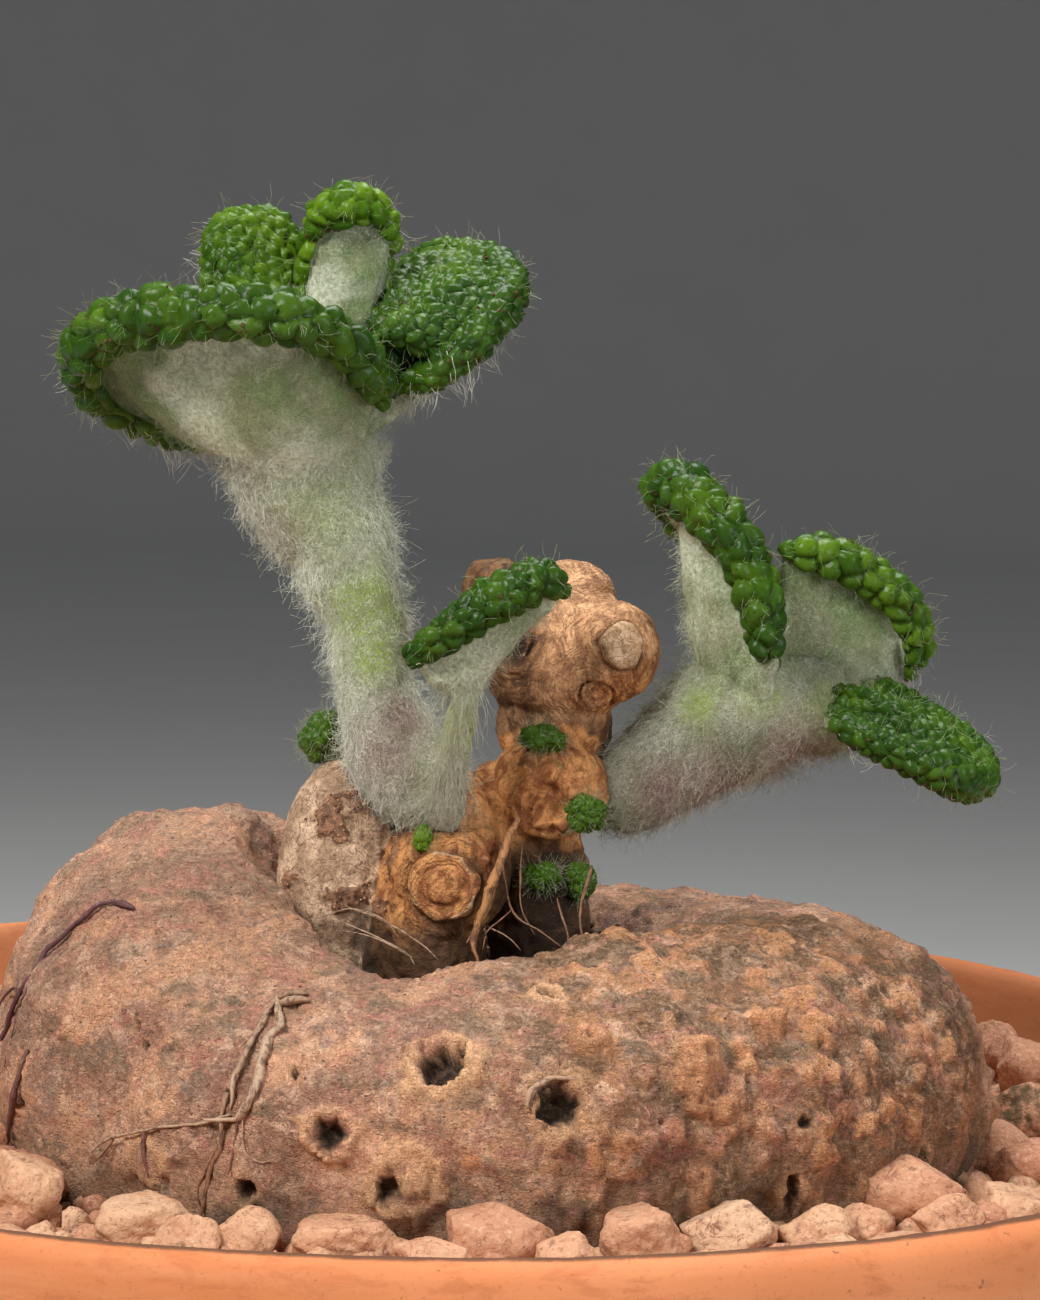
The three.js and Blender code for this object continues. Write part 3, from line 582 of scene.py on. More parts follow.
class Finish(Sheet):
    """A material being written, with its patterns on Object coordinates in millimetres."""

    def __init__(self, name):
        self.material = bpy.data.materials.new(name)
        self.material.use_nodes = True
        super().__init__(self.material.node_tree)
        self.tree.nodes.clear()
        place_at = self.node("ShaderNodeTexCoord")["Object"]
        self.mm = self.vector("SCALE", place_at, scale=1 / MM)

    def stretched(self, x, y, z):
        return self.vector("MULTIPLY", self.mm, (x, y, z))

    def noise(self, size, detail=3.0, roughness=0.55, at=None, twist=0.0):
        return self.node("ShaderNodeTexNoise", {}, {
            "Vector": at or self.mm, "Scale": 1 / size, "Detail": detail,
            "Roughness": roughness, "Distortion": twist})["Fac"]

    def cells(self, size, at=None):
        return self.node("ShaderNodeTexVoronoi", {}, {
            "Vector": at or self.mm, "Scale": 1 / size})["Distance"]

    def tangle(self, size, width):
        """Thin lines that cross each other, as hairs do in felt."""
        lines = None
        for k in range(3):
            at = self.vector("ADD", self.mm, (17.3 * k, 5.1 * k, 9.7 * k))
            off = self.maths("ABSOLUTE", self.noise(size, 2, 0.5, at=at, twist=1.0) - 0.5)
            line = 1 - off.eased(0.0, width)
            lines = line if lines is None else self.maths("MAXIMUM", lines, line)
        return lines

    def bump(self, height, distance_mm, strength=1.0):
        return self.node("ShaderNodeBump", {}, {
            "Height": height, "Distance": distance_mm * MM, "Strength": strength})["Normal"]

    def coat(self, factor, colour, mode="MIX"):
        """Lays one more colour over the finish."""
        self.colour = self.mix(factor, self.colour, colour, mode)

    def close(self, roughness, normal=None, **constants):
        inputs = {"Base Color": self.colour, "Roughness": roughness}
        if normal:
            inputs["Normal"] = normal
        inputs.update({key.replace("_", " "): value for key, value in constants.items()})
        skin = self.node("ShaderNodeBsdfPrincipled", {}, inputs)
        self.node("ShaderNodeOutputMaterial", {}, {"Surface": skin["BSDF"]})
        return self.material


class Repeat(Sheet):
    """A Geometry Nodes tree being written, with named inputs."""

    def __init__(self, name, inputs):
        super().__init__(bpy.data.node_groups.new(name, "GeometryNodeTree"))
        face = self.tree.interface
        face.new_socket("Geometry", in_out="INPUT", socket_type="NodeSocketGeometry")
        for key, kind in inputs.items():
            face.new_socket(key, in_out="INPUT", socket_type="NodeSocket" + kind)
        face.new_socket("Geometry", in_out="OUTPUT", socket_type="NodeSocketGeometry")
        self.given = self.node("NodeGroupInput")

    def named(self, name, kind="FLOAT"):
        return self.node("GeometryNodeInputNamedAttribute", {"data_type": kind},
                         {"Name": name})["Attribute"]

    def random(self, low, high, seed):
        return self.node("FunctionNodeRandomValue", {"data_type": "FLOAT"}, {2: low, 3: high, 8: seed})[1]

    def random_way(self, seed):
        return self.node("FunctionNodeRandomValue", {"data_type": "FLOAT_VECTOR"},
                         {0: (-1, -1, -1), 1: (1, 1, 1), 8: seed})[0]

    def keep(self, geometry, name, value):
        return self.node("GeometryNodeStoreNamedAttribute", {},
                         {"Geometry": geometry, "Name": name, "Value": value})["Geometry"]

    def stones_on(self, points, turn, size, **pick):
        """One of the collection's stones on each point."""
        shapes = self.node("GeometryNodeCollectionInfo", {}, {
            "Collection": self.given["Stones"], "Separate Children": True, "Reset Children": True})
        rotation = self.node("FunctionNodeEulerToRotation", {}, {0: turn})[0]
        return self.node("GeometryNodeInstanceOnPoints", {}, {
            "Points": points, "Instance": shapes["Instances"], "Pick Instance": True,
            "Rotation": rotation, "Scale": size, **pick})["Instances"]

    def close(self, geometry):
        solid = self.node("GeometryNodeRealizeInstances", {}, {"Geometry": geometry})["Geometry"]
        dressed = self.node("GeometryNodeSetMaterial", {}, {
            "Geometry": solid, "Material": self.given["Finish"]})
        self.node("NodeGroupOutput", {}, {"Geometry": dressed["Geometry"]})
        return self.tree


def grown(name, bed, tree, **inputs):
    """What a tree makes on a bed mesh, as a plain mesh piece."""
    carrier = place(name + "_bed", bed)
    modifier = carrier.modifiers.new("repeat", "NODES")
    modifier.node_group = tree
    for item in tree.interface.items_tree:
        key = item.name.lower().replace(" ", "_")
        if item.in_out == "INPUT" and key in inputs:
            modifier[item.identifier] = inputs[key]
    done = baked(carrier)
    done.name = name
    return place(name, done)


def sprinkled(name, bed, tree, slot, **sizes):
    """What a tree makes on a copy of a bed mesh, attached as a piece."""
    return finished(grown(name, bed.copy(), tree, **sizes), slot)


def fibre_tree():
    """Curved tapering hairs over the bed where its wool value is above 0."""
    s = Repeat("fibres", {
        "Per mm2": "Float", "Length": "Float", "Thickness": "Float", "Stand": "Float", "Lay": "Float",
        "Scatter": "Float", "Curl": "Float", "Droop": "Float", "Joints": "Int", "Seed": "Int",
        "Finish": "Material"})
    given = s.given
    spots = s.node("GeometryNodeDistributePointsOnFaces", {"distribute_method": "RANDOM"}, {
        "Mesh": given["Geometry"], "Density": given["Per mm2"] * s.named("wool") * PER_MM2,
        "Seed": given["Seed"]})
    kept = s.keep(spots["Points"], "tint", s.random(0.0, 1.0, 3))
    outward = spots["Normal"]
    lean = s.vector("ADD", s.vector("SCALE", s.named("flow", "FLOAT_VECTOR"), scale=given["Lay"]),
                    s.vector("SCALE", s.random_way(5), scale=given["Scatter"]))
    into = s.node("ShaderNodeVectorMath", {"operation": "DOT_PRODUCT"}, {0: lean, 1: outward})["Value"]
    rise = given["Stand"] * s.random(0.2, 1.8, 15) - into
    way = s.vector("ADD", lean, s.vector("SCALE", outward, scale=rise))
    turn = s.node("FunctionNodeAlignRotationToVector", {"axis": "Z"}, {"Vector": way})["Rotation"]
    line = s.node("GeometryNodeCurvePrimitiveLine", {"mode": "POINTS"}, {
        "Start": (0, 0, 0), "End": (0, 0, 1)})
    hair = s.node("GeometryNodeResampleCurve", {"mode": "COUNT"}, {
        "Curve": line["Curve"], "Count": given["Joints"]})["Curve"]
    size = given["Length"] * s.named("shag") * s.random(0.45, 1.25, 9)
    stood = s.node("GeometryNodeInstanceOnPoints", {}, {
        "Points": kept, "Instance": hair, "Rotation": turn, "Scale": size})["Instances"]
    loose = s.node("GeometryNodeRealizeInstances", {}, {"Geometry": stood})["Geometry"]
    far = s.node("GeometryNodeSplineParameter")["Factor"]
    here = s.node("GeometryNodeInputPosition")[0]
    wave = s.node("ShaderNodeTexNoise", {"noise_dimensions": "3D"}, {
        "Vector": s.vector("ADD", here, s.vector("SCALE", s.random_way(21), scale=0.0004)),
        "Scale": 1200.0, "Detail": 1.0})["Color"]
    bend = s.vector("SCALE", s.vector("SUBTRACT", wave, (0.5, 0.5, 0.5)),
                    scale=given["Curl"] * far * given["Length"] * 4.0)
    sag = s.node("ShaderNodeCombineXYZ", {}, {"Z": given["Droop"] * far * far * given["Length"] * -1.0})[0]
    waved = s.node("GeometryNodeSetPosition", {}, {"Geometry": loose, "Offset": s.vector("ADD", bend, sag)})
    thin = s.node("GeometryNodeSetCurveRadius", {}, {
        "Curve": waved["Geometry"], "Radius": 1.0 - far * 0.75})["Curve"]
    section = s.node("GeometryNodeCurvePrimitiveCircle", {"mode": "RADIUS"}, {
        "Resolution": 3, "Radius": given["Thickness"]})["Curve"]
    skin = s.node("GeometryNodeCurveToMesh", {}, {
        "Curve": thin, "Profile Curve": section, "Fill Caps": True})["Mesh"]
    return s.close(skin)


def stone_tree():
    """One of the rough stones on each point of the bed, by its kind, turn and size."""
    s = Repeat("stones", {"Stones": "Collection", "Finish": "Material"})
    kind = s.node("FunctionNodeFloatToInt", {}, {0: s.named("kind")})[0]
    spots = s.node("GeometryNodeMeshToPoints", {}, {"Mesh": s.given["Geometry"]})["Points"]
    laid = s.stones_on(spots, s.named("turn", "FLOAT_VECTOR"), s.named("size", "FLOAT_VECTOR"),
                       **{"Instance Index": kind})
    return s.close(laid)


def grit_tree():
    """Small stones and crumbs over the bed, no nearer to each other than a distance."""
    s = Repeat("grit", {"Stones": "Collection", "Spacing": "Float", "Smallest": "Float",
                        "Largest": "Float", "Sink": "Float", "Seed": "Int", "Finish": "Material"})
    given = s.given
    spots = s.node("GeometryNodeDistributePointsOnFaces", {"distribute_method": "POISSON"}, {
        "Mesh": given["Geometry"], "Distance Min": given["Spacing"], "Density Max": 20 * PER_MM2,
        "Density Factor": s.named("grit"), "Seed": given["Seed"]})
    kept = s.keep(spots["Points"], "tone", s.random(0.0, 1.0, 4))
    size = s.random(given["Smallest"], given["Largest"], 8)
    flat = s.node("ShaderNodeCombineXYZ", {}, {
        0: size, 1: size * s.random(0.7, 1.0, 12), 2: size * 0.75})[0]
    laid = s.stones_on(kept, s.vector("SCALE", s.random_way(6), scale=3.1), flat)
    sunk = s.node("GeometryNodeTranslateInstances", {}, {
        "Instances": laid, "Translation": s.node("ShaderNodeCombineXYZ", {}, {2: given["Sink"]})[0],
        "Local Space": False})["Instances"]
    return s.close(sunk)


# Finishes

def fired_clay():
    """Orange terracotta, paler where salts bloom, with dirt on the lip and inside."""
    f = Finish("fired_clay")
    wide = f.noise(34, 3)
    turned = f.noise(3.2, 4, 0.6, at=f.stretched(0.12, 0.12, 1.0))
    fine = f.noise(0.5, 3, 0.7)
    dots = f.noise(0.85, 2, 0.5, twist=0.4)
    f.colour = f.mix(wide.eased(0.35, 0.68), (0.56, 0.175, 0.058), (0.7, 0.25, 0.1))
    f.coat(turned.eased(0.42, 0.7) * 0.5, (0.7, 0.3, 0.14))
    streak = f.noise(1.5, 4, 0.65, at=f.stretched(0.35, 0.35, 1.0), twist=0.5)
    f.coat(streak.eased(0.5, 0.68) * 0.4, (0.42, 0.115, 0.04))
    f.coat(fine.eased(0.56, 0.76) * 0.4, (0.3, 0.085, 0.03))
    f.coat(dots.eased(0.7, 0.76) * 0.7, (0.22, 0.08, 0.04))
    stained = (f.value("inside") * (0.35 + 0.75 * f.noise(9, 4, 0.65))).clamped()
    f.coat(stained * 0.55, (0.24, 0.1, 0.045))
    dirt = (f.value("dirt") * 1.25 - f.noise(1.6, 4, 0.75) * 0.75).eased(0.0, 0.75)
    f.coat(dirt * 0.85, (0.07, 0.036, 0.02))
    height = turned * 0.6 + fine * 0.4
    return f.close(0.78 + dirt * 0.15, f.bump(height, 0.16, 0.55), Specular_IOR_Level=0.3)


def pebble_stone():
    """Cream and pink stone, chalky, with darker veins and pits."""
    f = Finish("pebble_stone")
    tone = f.value("tone")
    base = f.node("ShaderNodeValToRGB", {"stops": [
        (0.0, (0.47, 0.2, 0.12)), (0.28, (0.56, 0.28, 0.165)), (0.55, (0.63, 0.34, 0.2)),
        (0.8, (0.68, 0.4, 0.24)), (1.0, (0.72, 0.47, 0.3))]}, {0: tone})["Color"]
    blotch = f.noise(3.4, 4, 0.65, twist=0.6)
    fine = f.noise(0.5, 4, 0.7)
    chips = f.noise(1.3, 5, 0.7, twist=0.3)
    vein = f.noise(2.4, 5, 0.62, twist=0.8)
    f.colour = f.mix(blotch.eased(0.5, 0.66) * 0.55, base, (0.5, 0.215, 0.12))
    f.coat(fine.eased(0.5, 0.72) * 0.5, (0.82, 0.6, 0.42))
    f.coat(fine.below(0.32, 0.46) * 0.6, (0.27, 0.125, 0.07))
    f.coat(chips.below(0.33, 0.42) * 0.65, (0.2, 0.1, 0.06))
    line = (vein.eased(0.485, 0.5) - vein.eased(0.51, 0.525)) * f.noise(7, 2).eased(0.48, 0.58)
    f.coat(line * 0.7, (0.26, 0.085, 0.06))
    pits = f.cells(1.0).eased(0.0, 0.14)
    f.coat((1 - pits) * 0.5, (0.25, 0.12, 0.075))
    damp = (f.value("moss") * f.noise(1.6, 4, 0.7).eased(0.38, 0.6)).clamped()
    f.coat(damp * 0.85, (0.09, 0.075, 0.035))
    height = blotch * 0.25 + fine * 0.3 + chips * 0.4 + pits * 0.15
    return f.close(0.9, f.bump(height, 0.7, 1.0), Specular_IOR_Level=0.2)


def grit_ground():
    """Crushed stone and dust between the pebbles."""
    f = Finish("grit_ground")
    f.colour = f.mix(f.noise(1.1, 4, 0.7).eased(0.35, 0.65), (0.2, 0.1, 0.06), (0.5, 0.29, 0.19))
    return f.close(0.95, f.bump(f.noise(0.6, 3, 0.7), 0.5, 0.9))


def peat():
    f = Finish("peat")
    f.colour = f.mix(f.noise(1.4, 5, 0.7).eased(0.4, 0.65), (0.022, 0.013, 0.008), (0.09, 0.052, 0.03))
    return f.close(1.0, f.bump(f.noise(0.8, 4, 0.7), 0.6, 1.0))


def corky_skin():
    """Skin of the tuber: fibrous cork, mottled tan, pink, ochre and grey-green."""
    f = Finish("corky_skin")
    bumpy, knot = f.value("bumpy").eased(0.12, 0.6), f.value("knot")
    lumps = f.noise(7.5, 3, 0.5).eased(0.42, 0.58)
    patch = f.noise(2.8, 4, 0.7, twist=0.6)
    speck = f.noise(0.95, 4, 0.72, twist=0.9)
    thread = f.noise(0.42, 4, 0.75, at=f.stretched(0.55, 0.55, 1.5), twist=1.1)
    fine = f.noise(0.2, 2, 0.7, twist=1.5)
    scribble = f.tangle(0.8, 0.045)
    plain = f.mix(lumps, (0.43, 0.235, 0.15), (0.82, 0.43, 0.25))
    knobbly = f.mix(lumps, (0.29, 0.155, 0.075), (0.54, 0.26, 0.12))
    f.colour = f.mix(bumpy, plain, knobbly)
    f.coat(patch.eased(0.5, 0.6) * 0.7, (0.9, 0.56, 0.37))
    f.coat(f.noise(5.2, 3, 0.6, at=f.stretched(1, 1, 1.3)).eased(0.54, 0.64) * 0.6, (0.21, 0.16, 0.095))
    pink = f.noise(4.1, 4, 0.7, twist=1.2)
    f.coat(pink.eased(0.52, 0.62) * 0.6, (0.66, 0.26, 0.195))
    f.coat(pink.below(0.35, 0.45) * 0.6, (0.33, 0.21, 0.175))
    f.coat(f.value("grey") * patch.eased(0.36, 0.6) * 0.5, (0.3, 0.18, 0.115))
    f.coat(knot.eased(0.15, 0.6) * (0.3 + 0.5 * patch), (0.88, 0.41, 0.17))
    # Painted shade in the creases between the knots
    f.coat(knot.below(0.0, 0.2) * bumpy * 0.5, (0.13, 0.085, 0.045))
    f.coat(speck.eased(0.55, 0.66) * 0.5, (0.66, 0.41, 0.26))
    f.coat(speck.below(0.34, 0.44) * (0.5 + 0.15 * bumpy), (0.12, 0.066, 0.038))
    f.coat(thread.eased(0.54, 0.64) * 0.4, (0.68, 0.46, 0.32))
    wart = (f.value("wart") - 0.35 + 0.7 * speck).clamped()
    f.coat(wart * 0.65, (0.86, 0.4, 0.19))
    ring = (f.value("ring") * (0.5 + 0.9 * patch)).clamped()
    f.coat((ring * 0.9).clamped(), (0.95, 0.54, 0.29))
    f.coat(f.value("rosy") * (0.1 + 0.9 * speck.eased(0.4, 0.6)) * 0.85, (0.47, 0.165, 0.14))
    f.coat(thread.below(0.38, 0.48) * 0.6, (0.4, 0.35, 0.33), "MULTIPLY")
    f.coat(scribble * 0.5, (1.5, 1.5, 1.5), "MULTIPLY")
    f.coat(fine.eased(0.52, 0.64) * 0.3, (1.6, 1.6, 1.6), "MULTIPLY")
    f.coat(fine.below(0.37, 0.48) * 0.4, (0.4, 0.37, 0.36), "MULTIPLY")
    damp = (f.value("damp") * (0.5 + 0.9 * f.noise(3.1, 4, 0.65))).clamped()
    f.coat(damp * 0.5, (0.15, 0.11, 0.062))
    # Soil, and painted shade, darker down in the hollow
    soiled = (f.value("soiled") * 1.3 - f.noise(1.6, 4, 0.7) * 0.55).clamped()
    f.coat(soiled, (0.08, 0.05, 0.032))
    # Inside the holes: the brown of the torn tissue, and painted shade of the cavity
    torn = f.mix(speck.eased(0.42, 0.62), (0.045, 0.027, 0.017), (0.17, 0.1, 0.058))
    f.coat(f.value("hole"), torn)
    pores = f.cells(2.6).eased(0.03, 0.06)
    f.coat((1 - pores) * 0.8, (0.05, 0.03, 0.02))
    flecks = f.cells(1.25, at=f.stretched(0.8, 0.8, 1.7)).below(0.07, 0.13) * patch.eased(0.44, 0.52)
    f.coat(flecks * 0.8, (0.055, 0.032, 0.02))
    height = patch * 0.3 + speck * 0.42 + thread * 0.3 + fine * 0.06 + scribble * 0.1 + pores * 0.12
    return f.close(0.52 + 0.22 * speck, f.bump(height, 1.1, 1.0), Specular_IOR_Level=0.38)


def dead_wood():
    """Old stump wood: pale smooth skin, tan burls, orange torn tissue, ring grain."""
    f = Finish("dead_wood")
    swirl = f.noise(2.2, 4, 0.6, at=f.stretched(1, 1, 0.7), twist=1.6)
    fibre = f.noise(0.42, 4, 0.75, twist=1.2)
    speck = f.noise(0.9, 4, 0.72, twist=0.6)
    wave = f.maths("SINE", (f.value("wrap") + 2.6 * f.noise(2.4, 4, 0.7)) * 12.5)
    brown = f.mix(swirl.eased(0.36, 0.64), (0.07, 0.03, 0.012), (0.28, 0.135, 0.055))
    tan = f.mix(swirl.eased(0.36, 0.64), (0.4, 0.19, 0.085), (0.86, 0.47, 0.23))
    tan = f.mix(speck.eased(0.54, 0.66) * 0.55, tan, (0.27, 0.125, 0.055))
    pale = f.mix(f.noise(3.2, 4, 0.6).eased(0.4, 0.62), (0.5, 0.32, 0.2), (0.98, 0.68, 0.46))
    pale = f.mix(speck.eased(0.58, 0.68) * 0.55, pale, (0.34, 0.19, 0.11))
    pale = f.mix(f.noise(4.4, 4, 0.7).eased(0.54, 0.64) * 0.6, pale, (0.3, 0.19, 0.115))
    pale = f.mix(f.tangle(2.2, 0.014) * 0.7, pale, (0.16, 0.085, 0.045))
    orange = f.mix(swirl.eased(0.38, 0.62), (0.3, 0.1, 0.03), (0.76, 0.35, 0.12))
    orange = f.mix(f.noise(2.6, 4, 0.65, twist=0.8).eased(0.58, 0.68) * 0.7, orange, (0.36, 0.11, 0.055))
    orange = f.mix(f.noise(2.9, 4, 0.65).eased(0.6, 0.7) * 0.6, orange, (0.2, 0.15, 0.04))
    f.colour = f.mix(f.value("tan"), brown, tan)
    f.coat(f.value("orange").eased(0.25, 0.75), orange)
    f.coat(f.value("pale").eased(0.3, 0.7), pale)
    cut_wood = f.mix(speck.eased(0.4, 0.6), (0.4, 0.23, 0.115), (0.74, 0.5, 0.31))
    f.coat(f.value("scar").eased(0.35, 0.75), cut_wood)
    f.coat(fibre.below(0.36, 0.49) * 0.65, (0.13, 0.058, 0.025))
    f.coat(fibre.eased(0.55, 0.68) * 0.35, (0.72, 0.46, 0.27))
    ribs = wave.eased(0.3, 1.0) * f.value("ribbed") * (0.1 + 0.65 * f.noise(1.4, 3, 0.6).eased(0.42, 0.62))
    f.coat(ribs, (0.14, 0.062, 0.028))
    crust = (f.value("crust") * 1.5 - speck * 0.9).eased(0.15, 0.5)
    rusty = f.mix(speck.eased(0.42, 0.58), (0.1, 0.042, 0.024), (0.36, 0.17, 0.09))
    f.coat(crust * 0.85, rusty)
    # Painted shade in the grooves round the scars
    f.coat(f.value("groove") * 0.75, (0.06, 0.024, 0.01))
    # Painted shade: darker low down, in the pit, under the buds and in the seam between two stumps
    shade = (f.value("dark") * 1.25 - speck * 0.3).clamped()
    f.coat(shade * 0.85, (0.03, 0.017, 0.01))
    height = swirl * 0.25 + fibre * 0.4 + speck * 0.3 - wave * 0.1 * f.value("ribbed")
    return f.close(0.6 + 0.2 * fibre, f.bump(height, 0.55, 0.9), Specular_IOR_Level=0.35)


def blistered_green():
    """Upper face of a leaf: deep green blisters with painted shade and light, brighter where the leaf is
    young and where it is painted as lit, felt below.
    """
    f = Finish("blistered_green")
    dome, tint, lit = f.value("dome"), f.value("tint"), f.value("lit")
    fine = f.noise(0.4, 3, 0.6)
    patch = f.noise(4.5, 3, 0.55)
    deep = f.mix(tint, (0.016, 0.052, 0.005), (0.044, 0.1, 0.01))
    deep = f.mix(patch.eased(0.5, 0.7) * 0.4, deep, (0.055, 0.14, 0.004))
    # The lit value makes the green and its valleys brighter: young growth, and painted light where the leaf
    # is lit
    deep = f.mix(lit, deep, f.mix(tint, (0.055, 0.14, 0.004), (0.15, 0.27, 0.01)))
    # Painted shade: the valleys between the blisters are darker than their domes
    valley = f.mix(patch.eased(0.46, 0.66) * 0.8, (0.008, 0.026, 0.001), (0.085, 0.15, 0.004))
    valley = f.mix(lit, valley, (0.05, 0.11, 0.001))
    f.colour = f.mix(dome.eased(0.2, 0.55), valley, deep)
    # Painted light: the tops of the blisters are lighter
    f.coat(dome.eased(0.85, 1.0) * 0.2, (0.07, 0.17, 0.015))
    f.coat(fine.below(0.3, 0.45) * 0.5, (0.008, 0.03, 0.001))
    # Painted shade, deepest in the creases between the blisters
    f.coat(dome.below(0.02, 0.2) * 0.75, (0.004, 0.014, 0.001))
    under, shade = f.value("under"), f.value("shade")
    hairs = f.tangle(0.5, 0.05)
    felt = f.mix(fine.eased(0.38, 0.6), (0.38, 0.43, 0.26), (0.72, 0.76, 0.58))
    # Darker felt by the shade value: the skin showing through, and painted shade
    shady = f.mix(patch.eased(0.4, 0.6), (0.16, 0.24, 0.075), (0.25, 0.27, 0.13))
    felt = f.mix(shade.eased(-0.1, 0.75), felt, shady)
    felt = f.mix((hairs * (0.5 - 0.3 * shade)).clamped(), felt, (0.85, 0.87, 0.7))
    f.coat(under.eased(0.3, 0.7), felt)
    gloss = 0.22 + 0.16 * fine + 0.5 * under
    height = fine * 0.5 + hairs * under * 0.8
    return f.close(gloss.clamped(), f.bump(height, 0.09, 0.7),
                   Specular_IOR_Level=0.16, Subsurface_Weight=0.06, Subsurface_Scale=0.0012)


def stem_flesh():
    """Felted skin of a stem: grey-white, lime and rose, under its loose hairs."""
    f = Finish("stem_flesh")
    mottle = f.noise(1.8, 4, 0.65, twist=0.6)
    felt = f.noise(0.4, 4, 0.75, twist=1.0)
    shade = f.value("shade")
    f.colour = f.mix(felt.eased(0.38, 0.58), (0.26, 0.275, 0.165), (0.62, 0.62, 0.47))
    # Darker by the shade value: the skin showing through the wool, and painted shade
    f.coat(shade.clamped(), f.mix(mottle, (0.19, 0.22, 0.1), (0.3, 0.32, 0.18)))
    f.coat((f.value("lime") * (0.9 + 0.6 * mottle)).clamped(), (0.34, 0.44, 0.1))
    f.coat((f.value("rose") * (0.5 + 0.9 * mottle)).clamped(), (0.28, 0.165, 0.135))
    hairs = f.tangle(0.5, 0.05)
    f.coat(hairs * (0.55 - 0.3 * shade), (0.8, 0.8, 0.66))
    return f.close(0.9, f.bump(felt * 0.6 + hairs * 0.4, 0.3, 0.9))


def white_wool(name, dull, bright):
    """Hair: white to grey-green, tinged as the skin that it grows from."""
    f = Finish(name)
    tint = f.value("tint")
    clump = f.noise(0.6, 3, 0.7, twist=1.0)
    shade = f.value("shade")
    # Darker and greener by the shade value, for the skin's colour and painted shade; whiter below 0, for
    # white wool and painted light
    f.colour = f.mix((0.25 * tint + 0.65 * clump.eased(0.36, 0.6) - 0.6 * shade).clamped(), dull, bright)
    f.coat(shade.eased(0.0, 1.0) * (0.8 - 0.4 * tint), (0.2, 0.25, 0.11))
    f.coat((f.value("lime") * (0.95 - 0.4 * tint)).clamped(), (0.42, 0.56, 0.11))
    f.coat((f.value("rose") * (0.55 + 0.4 * tint)).clamped(), (0.54, 0.37, 0.32))
    spots = f.noise(2.6, 3, 0.6)
    f.coat(spots.eased(0.66, 0.74) * 0.35, (0.34, 0.24, 0.16))
    return f.close(0.6 + 0.2 * tint, None, Specular_IOR_Level=0.3, Subsurface_Weight=0.1,
                   Subsurface_Scale=0.0006)


def dry_root():
    """Dry roots: pale brown, orange and dark purple by their tone."""
    f = Finish("dry_root")
    strand = f.noise(0.8, 4, 0.7, at=f.stretched(1, 1, 0.5), twist=1.2)
    tone = f.node("ShaderNodeValToRGB", {"stops": [
        (0.0, (0.56, 0.38, 0.25)), (0.35, (0.36, 0.2, 0.12)), (0.5, (0.48, 0.22, 0.08)),
        (0.65, (0.24, 0.12, 0.08)), (1.0, (0.15, 0.06, 0.07))]}, {0: f.value("tone")})["Color"]
    f.colour = f.mix(strand.below(0.36, 0.56) * 0.75, tone, (0.07, 0.032, 0.022))
    f.coat(strand.eased(0.6, 0.72) * 0.4, (0.6, 0.44, 0.32))
    return f.close(0.75, f.bump(strand, 0.25, 0.9))


def crumb(name, dark, light, whites=0.965):
    f = Finish(name)
    tone = f.value("tone")
    f.colour = f.mix(tone.eased(0.2, 0.8), dark, light)
    f.coat(tone.eased(whites, whites + 0.01), (0.75, 0.72, 0.66))
    f.coat(f.noise(0.5, 3, 0.7).eased(0.5, 0.7) * 0.4, (0.2, 0.11, 0.06))
    return f.close(0.95, f.bump(f.noise(0.35, 3), 0.2, 0.8), Specular_IOR_Level=0.1)


# Pot, soil and gravel

def inner_wall(z):
    return POT["inner_foot"] + (z - 8) * POT["flare"]


def outer_wall(z):
    return POT["foot"] + z * POT["flare"]


